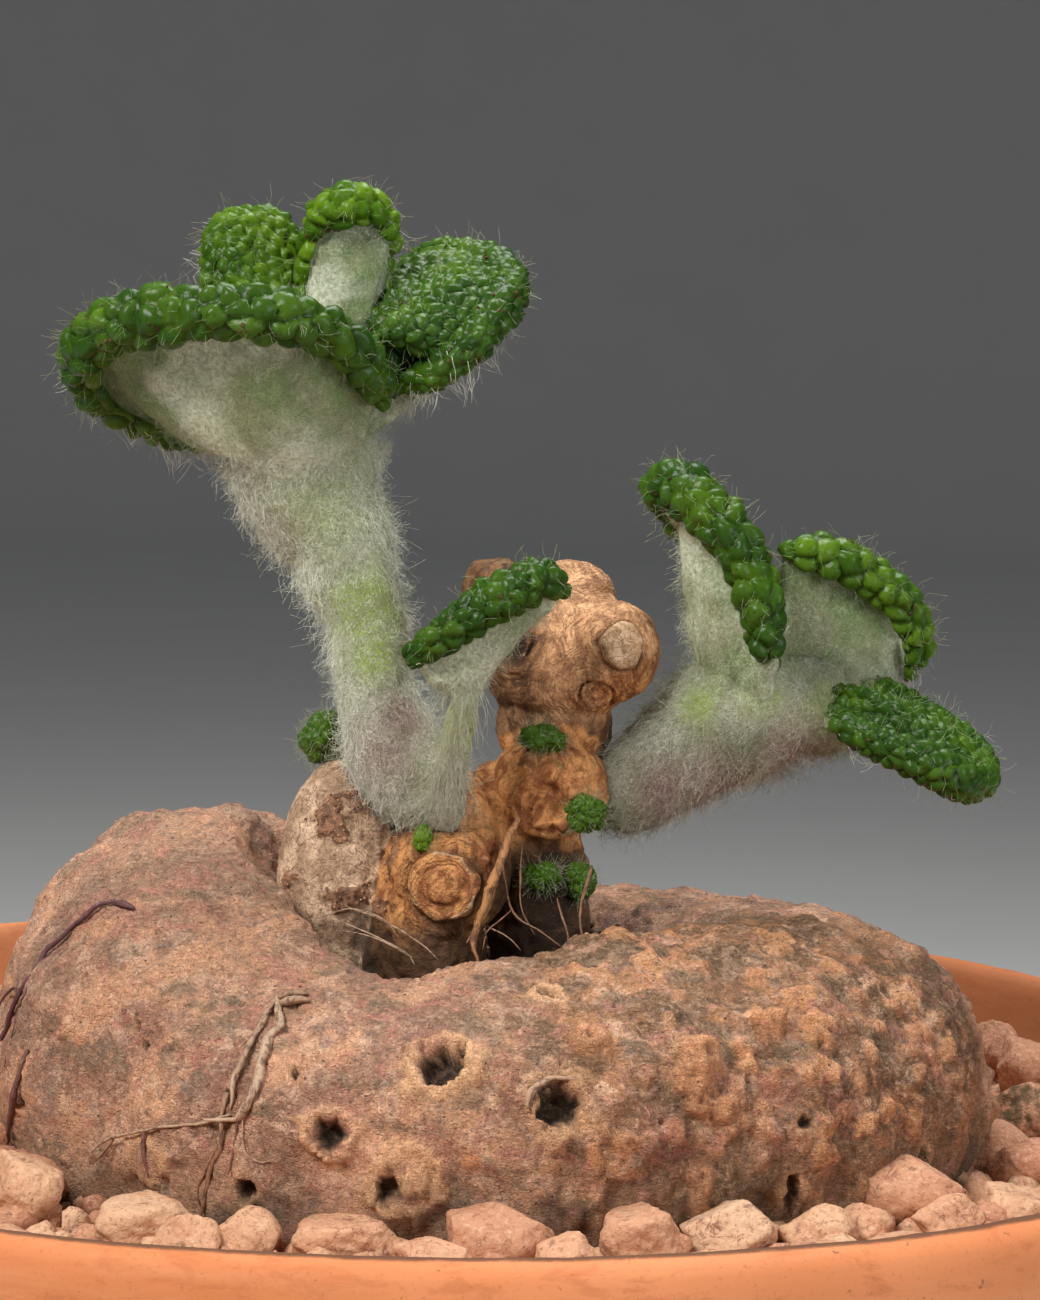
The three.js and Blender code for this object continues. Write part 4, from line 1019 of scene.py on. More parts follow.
def build_pot(clay):
    """The pan: one turned profile, with soft edges, faint throwing lines and small chips."""
    rim, top, floor = POT["rim"], POT["height"], POT["floor"]
    # Radius and height, from the drain hole out, up the wall, over the rim and down inside
    profile = [
        (POT["drain"], 0), (POT["foot"] - 3, 0), (POT["foot"] - 1.2, 0.15), (outer_wall(1.4) - 0.2, 0.8),
        (outer_wall(2.4), 2.4), (outer_wall(48), 48), (outer_wall(50), 50), (outer_wall(50) + 0.5, 50.6),
        (rim - 1.6, 51.1), (rim - 0.5, 51.9), (rim, 53), (rim, 59.4), (rim - 0.25, 60.6), (rim - 0.8, 61.4),
        (rim - 1.5, 61.85), (rim - 2.4, top), (inner_wall(61.4) + 0.5, 61.75), (inner_wall(60.8), 61.2),
        (inner_wall(60), 60), (inner_wall(9), 9), (POT["inner_foot"] - 1, 7), (POT["inner_foot"] - 4, 6.1),
        (POT["inner_foot"] - 8, floor), (POT["drain"], floor),
    ]
    near_rim, fine_step, coarse_step, columns = 55, 0.9, 4, 256
    fine = []
    for (r0, z0), (r1, z1) in zip(profile, profile[1:] + profile[:1]):
        step = fine_step if max(z0, z1) > near_rim else coarse_step
        parts = max(1, round(math.hypot(r1 - r0, z1 - z0) / step))
        fine += [(r0 + (r1 - r0) * k / parts, z0 + (z1 - z0) * k / parts) for k in range(parts)]
    fine = np.array(fine)
    turn = circle(columns)
    rings = np.stack([np.outer(fine[:, 0], np.cos(turn)), np.outer(fine[:, 0], np.sin(turn)),
                      np.repeat(fine[:, 1:2], columns, 1)], axis=-1)
    p = rings.reshape(-1, 3)
    r = np.hypot(p[:, 0], p[:, 1])
    inside = smooth(p[:, 2], 8, 12) * (r < inner_wall(p[:, 2]) + 0.9) * (p[:, 2] > floor + 0.5)
    mesh = weld(to_mesh("pot_pan", p, loop_faces(len(fine), columns), inside=inside))
    co, n = points_of(mesh), normals_of(mesh)
    lift = 0.1 * rough(co * [1, 1, 3.5], 9, 3) + 0.05 * rough(co, 1.6, 9)
    r = np.hypot(co[:, 0], co[:, 1])
    dirt = smooth(co[:, 2], 60.4, 61.7) * (1 - smooth(r, rim - 2.5, rim - 1.1)) * smooth(-co[:, 1], -35, 0)
    for spot, size in POT_CHIPS:
        far = away(co, spot)
        lift -= 0.45 * size * ridge(far, 0, 0.55 * size)
        dirt = np.maximum(dirt, 2 * ridge(far, 0, 0.6 * size))
    add_values(mesh, dirt=dirt)
    standing = smooth(co[:, 2], 0.2, 1.2)
    co += n * (np.minimum(lift - 0.05, 0) * standing)[:, None]
    move_points(mesh, co)
    return finished(place("pot_pan", mesh, clay), "terracotta", "pot")


def stone_spots():
    """The larger stones in front, and rings of smaller ones shifted and turned by seeded draws."""
    draw = make_draw(5)
    spots = [(c, radii, turn, 0) for c, radii, turn in FRONT_STONES]
    for ring in range(STONE_RINGS):
        count = round(2 * math.pi * (42 + 9 * ring) / STONE_STEP)
        for i in range(count):
            a, b, c, d, e, f = (draw() for _ in range(6))
            turn = 360 * (i + 0.4 * a) / count
            ct, st = math.cos(math.radians(turn)), math.sin(math.radians(turn))
            near = 0.94 * float(around(OUTER, turn)) + 3.4
            far = math.sqrt(STONE_REACH ** 2 - (TUBER["x"] * st) ** 2) - TUBER["x"] * ct
            r = near + (far - near) * ring / (STONE_RINGS - 1) + 1.6 * (b - 0.5)
            x, y = TUBER["x"] + r * ct, TUBER["y"] + r * st
            if any(math.hypot(x - s[0][0], y - s[0][1]) < STONE_CLEAR for s in spots):
                continue
            radii = [4.9 + 1.2 * d, 4.4 + e, 2.8 + 0.9 * f]
            spots.append(([x, y, 52.2 + 1.6 * c], radii, 360 * f, 24 * (f - 0.5)))
    return spots


def rock(name, seed, level, planes, knock):
    """A worn angular stone of about unit radius: a ball cut by planes, with its edges rubbed."""
    rng = np.random.default_rng(seed)
    mesh, way = ball(name, level)
    cuts = unit(rng.normal(size=(planes, 3)))
    reach = rng.uniform(0.7, 1.0, planes)
    toward = way @ cuts.T
    radius = np.where(toward > 0.15, reach / np.maximum(toward, 0.15), 9)
    hard, uncut = 34, 1.12
    r = -np.log(np.exp(-hard * radius).sum(1) + math.exp(-hard * uncut)) / hard
    chipped = np.maximum(rough(way, 0.45, seed + 3) - 0.35, 0)
    worn = rough(way, 0.7, seed)
    pitted = rough(way, 0.16, seed + 5)
    r = r * (1 + knock * worn - 1.6 * knock * chipped + 0.3 * knock * pitted)
    mesh.vertices.foreach_set("co", (way * r[:, None]).astype(np.float32).ravel())
    mesh.shade_smooth()
    mesh.update()
    return mesh


def rock_box(name, count, level, planes, knock):
    """A collection of rough stones to draw from."""
    box = bpy.data.collections.new(name)
    bpy.context.scene.collection.children.link(box)
    for k in range(count):
        mesh = rock(f"{name}_{k}", 40 + 7 * k, level, planes, knock)
        box.objects.link(bpy.data.objects.new(f"{name}_{k}", mesh))
    return box


def empty_box(box):
    for piece in list(box.objects):
        bpy.data.objects.remove(piece)
    bpy.data.collections.remove(box)


def build_gravel(stone, ground):
    """Pebbles at the solids' places, finer ones between them, and the grit that they lie in."""
    rng = np.random.default_rng(8)
    spots = stone_spots()
    count, front, shapes = len(spots), len(FRONT_STONES), 8
    centre = np.array([s[0] for s in spots], float)
    size = np.array([s[1] for s in spots], float) * MM
    turn = np.radians([[s[3], 0, s[2]] for s in spots])
    tone = np.concatenate([FRONT_TONES, rng.random(count - front)])
    moss = (np.arange(count) == MOSSY_STONE) * 1.0
    kind = rng.integers(0, shapes, count)
    laying = stone_tree()
    for name, level, these, stands_for in (("gravel_front", 5, slice(0, front), ["gravel"]),
                                           ("gravel_pebbles", 3, slice(front, count), [])):
        bed = to_mesh(name + "_spots", centre[these], [], size=size[these], turn=turn[these],
                      kind=kind[these], tone=tone[these], moss=moss[these])
        box = rock_box(name + "_shapes", shapes, level, 13, 0.06)
        finished(grown(name, bed, laying, stones=box, finish=stone), "gravel", *stands_for)
        empty_box(box)

    rings, columns, thick = 22, 160, 3
    u = np.linspace(0, 1, rings)[:, None]
    angle = circle(columns)[None]
    inner = 0.86 * around(OUTER, np.degrees(angle))
    outer = inner_wall(GRAVEL_TOP) - GAP - 0.6
    x = (TUBER["x"] + inner * np.cos(angle)) * (1 - u) + outer * np.cos(angle) * u
    y = (TUBER["y"] + inner * np.sin(angle)) * (1 - u) + outer * np.sin(angle) * u
    top = np.stack([x, y, np.full_like(x, GRAVEL_TOP)], axis=-1)
    top[..., 2] += 0.5 * rough(top.reshape(-1, 3), 3, 4).reshape(x.shape)
    under = top.copy()
    under[..., 2] = GRAVEL_TOP - thick
    skin = np.concatenate([top, under[::-1]])
    on_top = np.repeat([1.0, 0.0], rings * columns)
    mesh = weld(to_mesh("gravel_bed", skin.reshape(-1, 3), loop_faces(2 * rings, columns), grit=on_top))
    sprinkling = grit_tree()
    for name, level, spacing, smallest, largest, sink, seed in (
            ("gravel_small", 2, 3.3, 1.4, 2.5, 0.5, 3), ("gravel_grit", 1, 1.9, 0.55, 1.1, 0.1, 5)):
        box = rock_box(name + "_shapes", 5, level, 9, 0.06)
        sprinkled(name, mesh, sprinkling, "gravel", stones=box, spacing=spacing * MM,
                  smallest=smallest * MM, largest=largest * MM, sink=sink * MM, seed=seed, finish=stone)
        empty_box(box)
    finished(place("gravel_bed", mesh, ground), "gravel")


# Tuber

def tuber_swell(p):
    x, y, z = p[..., 0], p[..., 1], p[..., 2]
    return (0.4 * np.sin(0.47 * x + 1.3 * np.sin(0.29 * z)) * np.sin(0.43 * z + 0.8 * np.sin(0.33 * y))
            + 0.25 * np.sin(0.7 * y + 0.5 * x))


def tuber_points(turn, up, grow=0.0):
    """Points of the tuber's skin, by degrees round it and degrees along its section."""
    turn, up = np.broadcast_arrays(np.asarray(turn, float), np.asarray(up, float))
    outer, crest, crest_z, hollow = (around(t, turn) for t in (OUTER, CREST, CREST_Z, HOLLOW))
    c, s = np.cos(np.radians(up)), np.sin(np.radians(up))
    cc, ss = np.abs(c) ** (2 / TUBER["power"]), np.abs(s) ** (2 / TUBER["power"])
    equator = TUBER["equator"]
    r = np.where(up > 90, crest - (crest - hollow) * cc, crest + (outer - crest) * cc)
    z = np.where(up > 90, TUBER["hollow"] + (crest_z - TUBER["hollow"]) * ss,
                 equator + np.where(up >= 0, crest_z - equator, TUBER["bottom"] - equator) * ss)
    ct, st = np.cos(np.radians(turn)), np.sin(np.radians(turn))
    p = np.stack([TUBER["x"] + ct * r, TUBER["y"] + st * r, z], axis=-1)
    out = np.stack([ct * c, st * c, s], axis=-1)
    return p + out * (tuber_swell(p) + grow)[..., None]


def tuber_marks(p):
    """Relief and colour masks of the tuber's holes, calluses and warts."""
    rng = np.random.default_rng(21)
    lift = np.zeros(len(p))
    mark = {key: np.zeros(len(p)) for key in ("hole", "ring", "wart", "rosy")}
    ragged = [1 + 0.2 * rough(p, 1.5, 33, 2), 1 + 0.3 * rough(p, 0.9, 37, 3)]

    def far_from(turn, up, reach, squash=1.0, edge=0):
        far = away(p, tuber_points(turn, up), [1, 1, squash])
        return far * ragged[edge], far < reach

    def colour(key, near, value):
        mark[key] = np.maximum(mark[key], near * value)

    for turn, up, r in CALLUSES:
        far, near = far_from(turn, up, 3 * r, 1.15)
        lift += near * 0.25 * (1 - smooth(far, 0.9 * r, 1.05 * r))
        lift += near * 0.27 * ridge(far, 0.95 * r, 0.12 * r)
        colour("ring", near, 0.3 * (far < r) + 1.1 * ridge(far, 0.88 * r, 0.2 * r))
    for turn, up, r, squash in HOLES:
        far, near = far_from(turn, up, 4 * r, squash, 1)
        lift -= near * (0.5 + 0.8 * r) * (1 - smooth(far, 0.55 * r, 1.02 * r))
        lift += near * 0.16 * r * ridge(far, 1.15 * r, 0.14 * r)
        colour("hole", near, 1 - smooth(far, 0.72 * r, 1.0 * r))
        colour("ring", near, 0.7 - 0.7 * smooth(far, 1.1 * r, 1.7 * r))
    turn, up, r = PLATE
    far, _ = far_from(turn, up, 4)
    lift += 0.45 * (1 - smooth(far, r, r + 0.3))
    colour("ring", True, 1 - smooth(far, r + 0.1, r + 0.4))

    # Warts: the named ones, then small ones by draws, most of them on the right
    small_warts, on_the_right, cratered = 150, 105, 1
    spots = [(*w, 1) for w in WARTS]
    for k in range(small_warts):
        turn = rng.uniform(282, 372) if k < on_the_right else rng.uniform(0, 280)
        spots.append((turn, rng.uniform(-8, 88), rng.uniform(0.35, 0.85), rng.random()))
    for turn, up, r, warmth in spots:
        far, near = far_from(turn, up, 3 * r)
        lift += near * 0.5 * r * (1 - smooth(far, 0.5 * r, 1.1 * r))
        if r > cratered:
            lift += near * 0.12 * r * ridge(far, 0.4 * r, 0.14 * r)
            lift -= near * 0.25 * r * ridge(far, 0, 0.16 * r)
            # The pit of a crater is painted dark: painted shade
            colour("hole", near, 0.5 * ridge(far, 0, 0.13 * r))
        colour("wart", near, warmth * np.exp(-(far / (1.05 * r)) ** 4))
    for turn, up, r in ROSY_PATCHES:
        far, near = far_from(turn, up, 3 * r)
        colour("rosy", near, 0.7 * ridge(far, 0, r))
    return lift, mark


def build_tuber(cork):
    """The caudex, finer in front than behind."""
    front = np.linspace(205, 345, 400, endpoint=False)
    back = np.linspace(345, 565, 200, endpoint=False)
    turn = np.concatenate([front, back])
    up = np.concatenate([np.linspace(180, 100, 50, endpoint=False),
                         np.linspace(100, -12, 88, endpoint=False), np.linspace(-12, -70, 14)])
    rings = tuber_points(turn[None], up[:, None])
    ends = [[TUBER["x"], TUBER["y"], TUBER[level]] for level in ("hollow", "bottom")]
    mesh = closed_rings("tuber_caudex", rings, *ends)
    co, n = points_of(mesh), normals_of(mesh)
    x, y, z = co.T
    reach = np.hypot(x - TUBER["x"], y - TUBER["y"])
    turned = np.degrees(np.arctan2(y, x - TUBER["x"])) % 360
    crest = around(CREST, turned)
    in_hollow = 1 - smooth(reach, crest - 5.5, crest + 0.5)
    # The knobbly side is the right one
    knobbly_turn, knobbly_spread, knob_pitch = 315, 42, 2.4
    bumpy = ridge(((turned - knobbly_turn + 180) % 360) - 180, 0, knobbly_spread)
    lift, mark = tuber_marks(co)
    lift += 0.45 * rough(co, 8, 1, 2) + 0.32 * rough(co * [1, 1, 1.4], 3, 2, 2) * (0.7 + 0.5 * bumpy)
    lift -= 0.24 * (1 - smooth(np.abs(rough(co * [1, 1, 1.5], 2.4, 18, 3)), 0, 0.16))
    lift += 0.22 * rough(co, 1.3, 4, 2) + 0.1 * rough(co, 0.6, 24, 1)
    knots = spread(co, (bumpy > 0.12) * (z > 45) * 1.0, knob_pitch, 17)
    height, owner = pillows(co + 0.7 * wander(co, 1.4, 50), knots, knob_pitch)
    tall = np.random.default_rng(3).random(len(knots)) ** 2.4
    knot = bumpy * height * tall[owner]
    folds = np.sin(turned * 0.35 + 2 * rough(co, 6, 12, 2)) * smooth(reach, 14, 20) * in_hollow
    lift += 0.9 * knot
    lift += 0.3 * folds
    co += n * lift[:, None]
    z[:] = np.maximum(z, TUBER["bottom"])
    move_points(mesh, co)
    # The hollow is painted darker towards its floor: soil on the skin, and painted shade of the hollow
    hollow_floor = 1 - smooth(z, 66, 72.5)
    left_crown = smooth(z + 4 * rough(co, 6, 33, 2), 70, 80) * smooth(-x, 2, 12)
    add_values(mesh, **mark, bumpy=bumpy, knot=knot, grey=left_crown,
               soiled=in_hollow * (0.35 + 0.65 * hollow_floor),
               damp=1 - smooth(z + 1.5 * rough(co, 5, 6, 2), 54, 62),
               grit=in_hollow * hollow_floor)
    return finished(place("tuber_caudex", mesh, cork), "tuber", "tuber")


def strands(name, specs, finish, sides=7):
    """Thin tapering strands along curves, in one mesh. A spec is [points, radius, tone]."""
    points, faces, tones = [], [], []
    start = 0
    joint = 0.5
    for k, (path, radius, tone) in enumerate(specs):
        count = max(5, round(spline_length(path) / joint))
        u = even(path, count)
        line, way = spline(path, u), spline_way(path, u)
        line = line + 0.35 * radius * np.stack([rough(line, 1.5, s + k) for s in (50, 60, 70)], axis=1)
        side = unit(np.cross(way, [0.31, 0.2, 0.93]))
        other = np.cross(way, side)
        thick = radius * (0.35 + 0.65 * np.sin(np.pi * np.clip(u * 0.8 + 0.15, 0, 1)))
        thick = thick * (1 + 0.25 * rough(line, 1.2, 80 + k))
        a = circle(sides)[None, :, None]
        section = np.cos(a) * side[:, None] + 0.75 * np.sin(a) * other[:, None]
        ring = line[:, None] + thick[:, None, None] * section
        nib = way * radius * 0.4
        points += [ring.reshape(-1, 3), line[:1] - nib[:1], line[-1:] + nib[-1:]]
        first = start + count * sides
        end = first - sides
        faces += (ring_faces(count, sides) + start).tolist()
        faces += [[first, start + (i + 1) % sides, start + i] for i in range(sides)]
        faces += [[first + 1, end + i, end + (i + 1) % sides] for i in range(sides)]
        tones.append(np.full(count * sides + 2, tone))
        start = first + 2
    mesh = weld(to_mesh(name, np.vstack(points), faces, tone=np.concatenate(tones)), 0)
    return place(name, mesh, finish)


# Dry roots on the tuber: [[degrees round it, degrees up its section], ...], radius, tone
DRY_STRANDS = [
    [[(207.8, 60), (205.5, 59), (203.2, 55.2), (202.2, 49.5), (201.2, 42.8), (200.2, 35.8), (201, 29.2),
      (200.2, 22.2), (197, 12.2), (195.2, 6), (194, -4)], 0.3, 1.0],
    [[(209.6, 60.6), (207.6, 60.2), (205.4, 58.8)], 0.42, 0.95],
    [[(200.6, 24), (196.5, 22.5), (192.5, 18), (190, 10)], 0.14, 0.9],
    [[(201, 31), (202.6, 24), (201.6, 16), (202.4, 6)], 0.12, 0.8],
    [[(207.4, 13), (207, 7), (206, 0.8), (203, -8), (199.8, -13)], 0.3, 0.85],
    [[(237, 61), (239, 55.2), (241, 49.5), (240.5, 44), (241.5, 36), (242.2, 26.5), (242, 19.2),
      (240.8, 11.2), (239, 10.2), (236.6, 8.8)], 0.42, 0.02],
    [[(237.4, 62), (237.2, 56), (238.2, 49), (239, 39.5), (239.4, 29.8), (238.9, 21.5), (238.5, 11),
      (238.8, 4.2)], 0.26, 0.22],
    [[(238.6, 13), (238.8, 4.2), (238.8, -0.2), (237.8, -3.5), (237.2, -9.8), (236.2, -16.2), (235.4, -22)],
     0.22, 0.62],
    [[(238.6, 1), (237, -5), (236, -10.4), (236.4, -15)], 0.13, 0.6],
    [[(237.6, 60.4), (239.2, 63), (241.6, 63.4)], 0.5, 0.3],
    [[(238.4, 58.6), (240.2, 60.4), (242.2, 60.6)], 0.5, 0.2],
    [[(239, 27), (239.5, 21), (239.5, 14.5)], 0.22, 0.0],
    [[(239.6, 12), (238, 9.8), (235.8, 7), (233.5, 5.2), (231, 3.8), (226.8, 0.2), (223.2, -2.2),
      (221, -5.8)], 0.2, 0.1],
    [[(224.6, -1), (223.4, -4), (221.8, -7)], 0.13, 0.3],
    [[(229.4, 2), (229.3, -3), (229.6, -9)], 0.22, 0.75],
    [[(241.2, 11.2), (241.5, 3.5), (242.2, -0.5), (244, -1.5), (245.8, -0.5)], 0.09, 0.1],
    [[(240.6, 11), (240.5, 7), (240.4, 1.8), (240, -5)], 0.12, 0.7],
    # Torn skin over a hole
    [[(274.6, 19), (275, 23.6), (276.6, 27), (278.4, 28), (280.6, 27.4)], 0.36, 0.2],
    [[(275.6, 26), (277.2, 28.4), (279.6, 29)], 0.24, 0.4],
]
# Rootlets of the crown: points, radius, tone
CROWN_STRANDS = [
    [[[8.9, -7.6, 84.2], [8.2, -8.8, 83], [7.5, -9.9, 81.2], [6.6, -10.9, 78.6], [5.6, -11.3, 75.6],
      [5.2, -11.6, 72.6]], 0.48, 0.5],
    [[[8.2, -7.8, 83.6], [7.7, -9.2, 81.6], [7, -10.6, 79], [6.2, -11.2, 76.2], [4.6, -11.8, 73.6]],
     0.3, 0.46],
    [[[5.4, -11.4, 75.4], [5.1, -11.9, 73.6], [5.6, -12.2, 71.8]], 0.3, 0.52],
    [[[-6.4, -7, 75.8], [-2.8, -9.8, 74.9], [0.4, -11.8, 73.4], [2, -12.8, 72.2]], 0.12, 0.1],
    [[[-8, -7.6, 74.8], [-4.6, -9.8, 74], [-1, -11.6, 72.6], [0, -12.6, 71.6]], 0.1, 0.05],
    [[[-7, -8.4, 73.8], [-3.8, -10.6, 73.6], [-0.2, -12.4, 72.2]], 0.08, 0.0],
    [[[-9, -7, 74.6], [-6, -8.6, 75.8], [-3, -10, 75.2], [-1.6, -11, 73.8]], 0.08, 0.0],
    [[[7.3, -8, 81.9], [7.9, -9.6, 78.6], [8.8, -10.2, 75.9], [11, -10.6, 74.6], [12.9, -11.4, 73.4]],
     0.13, 0.62],
    [[[9.3, -7.6, 82], [9.2, -9, 79], [9.4, -9.8, 76.4], [10.6, -10.4, 74.2]], 0.11, 0.6],
    [[[8.6, -9.8, 76.4], [7.4, -10.8, 75.4], [6.4, -11.6, 74.6], [6, -12, 73]], 0.09, 0.6],
    [[[12.6, -6.8, 77], [13, -8.4, 75.6], [13.6, -9.6, 74], [13.4, -11, 72.4]], 0.13, 0.62],
    [[[15.6, -6.4, 80], [15.2, -7.8, 78.4], [14.6, -9, 76], [14.9, -10.2, 74], [15.4, -11, 72.6]],
     0.16, 0.6],
    [[[5.6, -9.6, 75], [8, -11.4, 74.2], [9.4, -12.2, 73]], 0.1, 0.3],
]


def build_roots(finish):
    """Dry roots stuck to the tuber's skin, and rootlets that hang and lie in its crown."""
    rng = np.random.default_rng(4)
    on_skin = []
    for path, radius, tone in DRY_STRANDS:
        at = np.array(path, float)
        lifted = tuber_points(at[:, 0], at[:, 1], 0.35 + radius * 0.6)
        on_skin.append([lifted.tolist(), radius, tone])
    finished(strands("tuber_dry_roots", on_skin, finish), "tuber")
    crown = [list(spec) for spec in CROWN_STRANDS]
    loose, bends = 46, 4
    for _ in range(loose):
        turn = rng.uniform(0, 360)
        reach = rng.uniform(11, 19)
        start = np.array([TUBER["x"] + reach * math.cos(math.radians(turn)),
                          TUBER["y"] + reach * math.sin(math.radians(turn)), rng.uniform(67.6, 70)])
        steps = [start]
        heading = rng.uniform(0, 2 * math.pi)
        for _ in range(bends):
            heading += rng.normal(0, 0.8)
            hop = rng.uniform(1.1, 2.4)
            steps.append(steps[-1] + [hop * math.cos(heading), hop * math.sin(heading), rng.normal(0, 0.5)])
        crown.append([[s.tolist() for s in steps], rng.uniform(0.08, 0.2), rng.random() * 0.6])
    finished(strands("crown_rootlets", crown, finish, sides=5), "stump")


# Lumps spread over a surface

def spread(points, weight, pitch, seed):
    """Places among the points, none nearer to another than the pitch."""
    rng = np.random.default_rng(seed)
    chosen = []
    for i in rng.permutation(np.flatnonzero(weight > 0.5)):
        p = points[i]
        near = pitch * rng.uniform(0.72, 1.05)
        if not chosen or np.min(((np.array(chosen) - p) ** 2).sum(1)) > near * near:
            chosen.append(p)
    return np.array(chosen)


def pillows(points, centres, pitch, flat=0.85):
    """How far up its dome each point is, and which dome it is on."""
    tree = KDTree(len(centres))
    for k, centre in enumerate(centres.tolist()):
        tree.insert(centre, k)
    tree.balance()
    found = [tree.find_n(p, 2) for p in points.tolist()]
    far = np.array([[first[2], second[2]] for first, second in found])
    q = np.clip((far[:, 1] - far[:, 0]) / (flat * pitch), 0, 1)
    return np.sqrt(1 - (1 - q) ** 2), np.array([first[1] for first, _ in found])


# Stumps

def stump_body():
    """The stumps and their ring scars, melted into one mesh."""
    work = bmesh.new()
    for centre, radii, lean in STUMPS:
        at = (Matrix.Translation(Vector(centre) * MM) @ Matrix.Rotation(-math.radians(lean), 4, "Z")
              @ Matrix.Diagonal((*[r * MM for r in radii], 1)))
        bmesh.ops.create_icosphere(work, subdivisions=4, radius=1, matrix=at)
    for centre, r, way in SCARS:
        turn = Vector(way).to_track_quat("Z", "Y").to_matrix().to_4x4()
        for wide, high in ((r, 0.8), (0.5 * r, 1.4)) if r > 3 else ((r, 0.3),):
            bmesh.ops.create_cone(work, cap_ends=True, segments=40, radius1=wide * MM,
                                  radius2=0.85 * wide * MM, depth=2 * high * MM,
                                  matrix=Matrix.Translation(Vector(centre) * MM) @ turn)
    rough_mesh = bpy.data.meshes.new("stumps_rough")
    work.to_mesh(rough_mesh)
    work.free()
    carrier = place("stumps_rough", rough_mesh)
    remesh = carrier.modifiers.new("one_body", "REMESH")
    remesh.mode = "VOXEL"
    remesh.voxel_size = 0.27 * MM
    soften = carrier.modifiers.new("soften", "SMOOTH")
    soften.iterations = 6
    mesh = baked(carrier)
    mesh.name = "old_stumps_wood"
    return mesh


def build_stumps(wood):
    """The old shoots' stubs, one knotted body with ring scars."""
    mesh = stump_body()
    co, n = points_of(mesh), normals_of(mesh)
    x, _, z = co.T
    mark = {key: np.zeros(len(co)) for key in ("orange", "crust", "groove", "scar")}

    def colour(key, value):
        mark[key] = np.maximum(mark[key], value)

    def far_in(stump):
        centre, radii, _ = STUMPS[stump]
        return np.linalg.norm((co - centre) / radii, axis=1)

    pale = 1 - smooth(far_in(PALE_STUMP), 1.04, 1.16)
    pale *= 1 - smooth(x + 1.5 * rough(co, 2.6, 4, 2), -5, -2)
    for stump, reach in ORANGE_STUMPS:
        colour("orange", 1 - smooth(far_in(stump) + 0.12 * rough(co, 2, 9), 0.95 * reach, 1.2 * reach))
    colour("orange", 0.7 * (1 - smooth(away(co, [18.6, -3, 96]), 3, 5.5)))
    for spot, r in CRUSTS:
        colour("crust", 1 - smooth(away(co, spot) + 0.9 * rough(co, 1.2, 6), 0.5 * r, 1.15 * r))
    crust = mark["crust"]

    # Lumps, grain and flakes, calmer on the pale stump and on the round knob at the top right
    lift = 0.42 * rough(co, 4.4, 1, 2) * (1 - 0.55 * pale) + 0.15 * rough(co, 1.5, 5, 2) * (1 - 0.6 * pale)
    lift += (0.07 * rough(co, 0.6, 7, 2) * (1 - 0.5 * pale)
             + crust * (0.2 + 0.3 * np.abs(rough(co, 0.8, 12, 2))))
    flake_pitch = 2.6
    flakes = spread(co, (1 - pale), flake_pitch, 3)
    dome, _ = pillows(co + 0.5 * rough(co, 1.5, 30)[:, None], flakes, flake_pitch)
    knob = smooth(z, 91.5, 94.5) * smooth(x, 9.5, 12)
    lift += (0.26 - 0.24 * knob) * dome * (1 - pale)

    wrap = np.full(len(co), 99.0)
    ribbed = 0.25 + 0.6 * knob
    for k, (centre, r, way) in enumerate(SCARS):
        way = unit(np.array(way, float))
        v = co - centre
        deep = v @ way
        flat = np.linalg.norm(v - deep[:, None] * way, axis=1) * (1 + 0.09 * rough(co, 1.4, 40 + k, 2))
        wrap = np.minimum(wrap, np.linalg.norm(v, axis=1) + 0.5 * rough(co, 2.4, 15 + k, 2))
        if k == TORN:
            shown = deep > -2.5
            torn = flat * (1 + 0.16 * rough(co, 1.1, 48, 2))
            lift -= shown * 0.9 * (1 - smooth(torn, 0.6 * r, 1.05 * r))
            lift += shown * (0.6 * ridge(torn, 1.15 * r, 0.2 * r)
                             + 0.25 * np.abs(rough(co, 0.9, 52, 2)) * (torn < 1.3 * r))
            colour("orange", 1 - smooth(torn, 1.6 * r, 2.2 * r))
            continue
        shown, cut = deep > -2, deep > -1.6
        near = (deep > -3) * (1 - smooth(flat, 1.9 * r, 2.9 * r))
        within = (1 - smooth(flat, 1.05 * r, 1.5 * r)) * shown
        lift = lift * (1 - 0.75 * within)
        lift += near * 0.07 * np.sin(2 * np.pi * flat / (0.3 * r) + 2.2 * rough(co, 1.2, 44 + k, 2))
        if k == OVAL:
            flat = flat * (1 + 0.14 * rough(co, 2.2, 90, 2))
            lift += shown * (0.16 * (1 - smooth(flat, 0.8 * r, 1.02 * r))
                             - 0.3 * ridge(flat, 1.1 * r, 0.1 * r)
                             + 0.08 * np.sin(9 * flat / r + rough(co, 1.6, 91, 2)) * (flat < r))
            colour("scar", cut * (1 - smooth(flat, 0.9 * r, 1.02 * r)))
            colour("groove", shown * ridge(flat, 1.1 * r, 0.07 * r))
            ribbed = ribbed * (1 - 0.9 * (flat < r) * cut)
            continue
        lift += shown * (0.42 * ridge(flat, 1.2 * r, 0.2 * r)
                         + 0.22 * ridge(flat, 0.82 * r, 0.07 * r)
                         - 0.45 * ridge(flat, 0.97 * r, 0.06 * r)
                         - 0.25 * (1 - smooth(flat, 0.55 * r, 0.75 * r))
                         + 0.12 * np.abs(rough(co, 0.6, 62, 2)) * (flat < 0.75 * r))
        ribbed = np.maximum(ribbed, shown * (1 - smooth(flat, 1.2 * r, 1.8 * r)))
        colour("groove", shown * ridge(flat, 0.97 * r, 0.06 * r))
        colour("scar", cut * ridge(flat, 0.84 * r, 0.05 * r) * smooth(rough(co, 1.6, 77, 2), -0.4, 0.2))
        colour("orange", (0.8 if k == BURL else 0.2) * (1 - smooth(flat, 1.3 * r, 2 * r)) * shown)

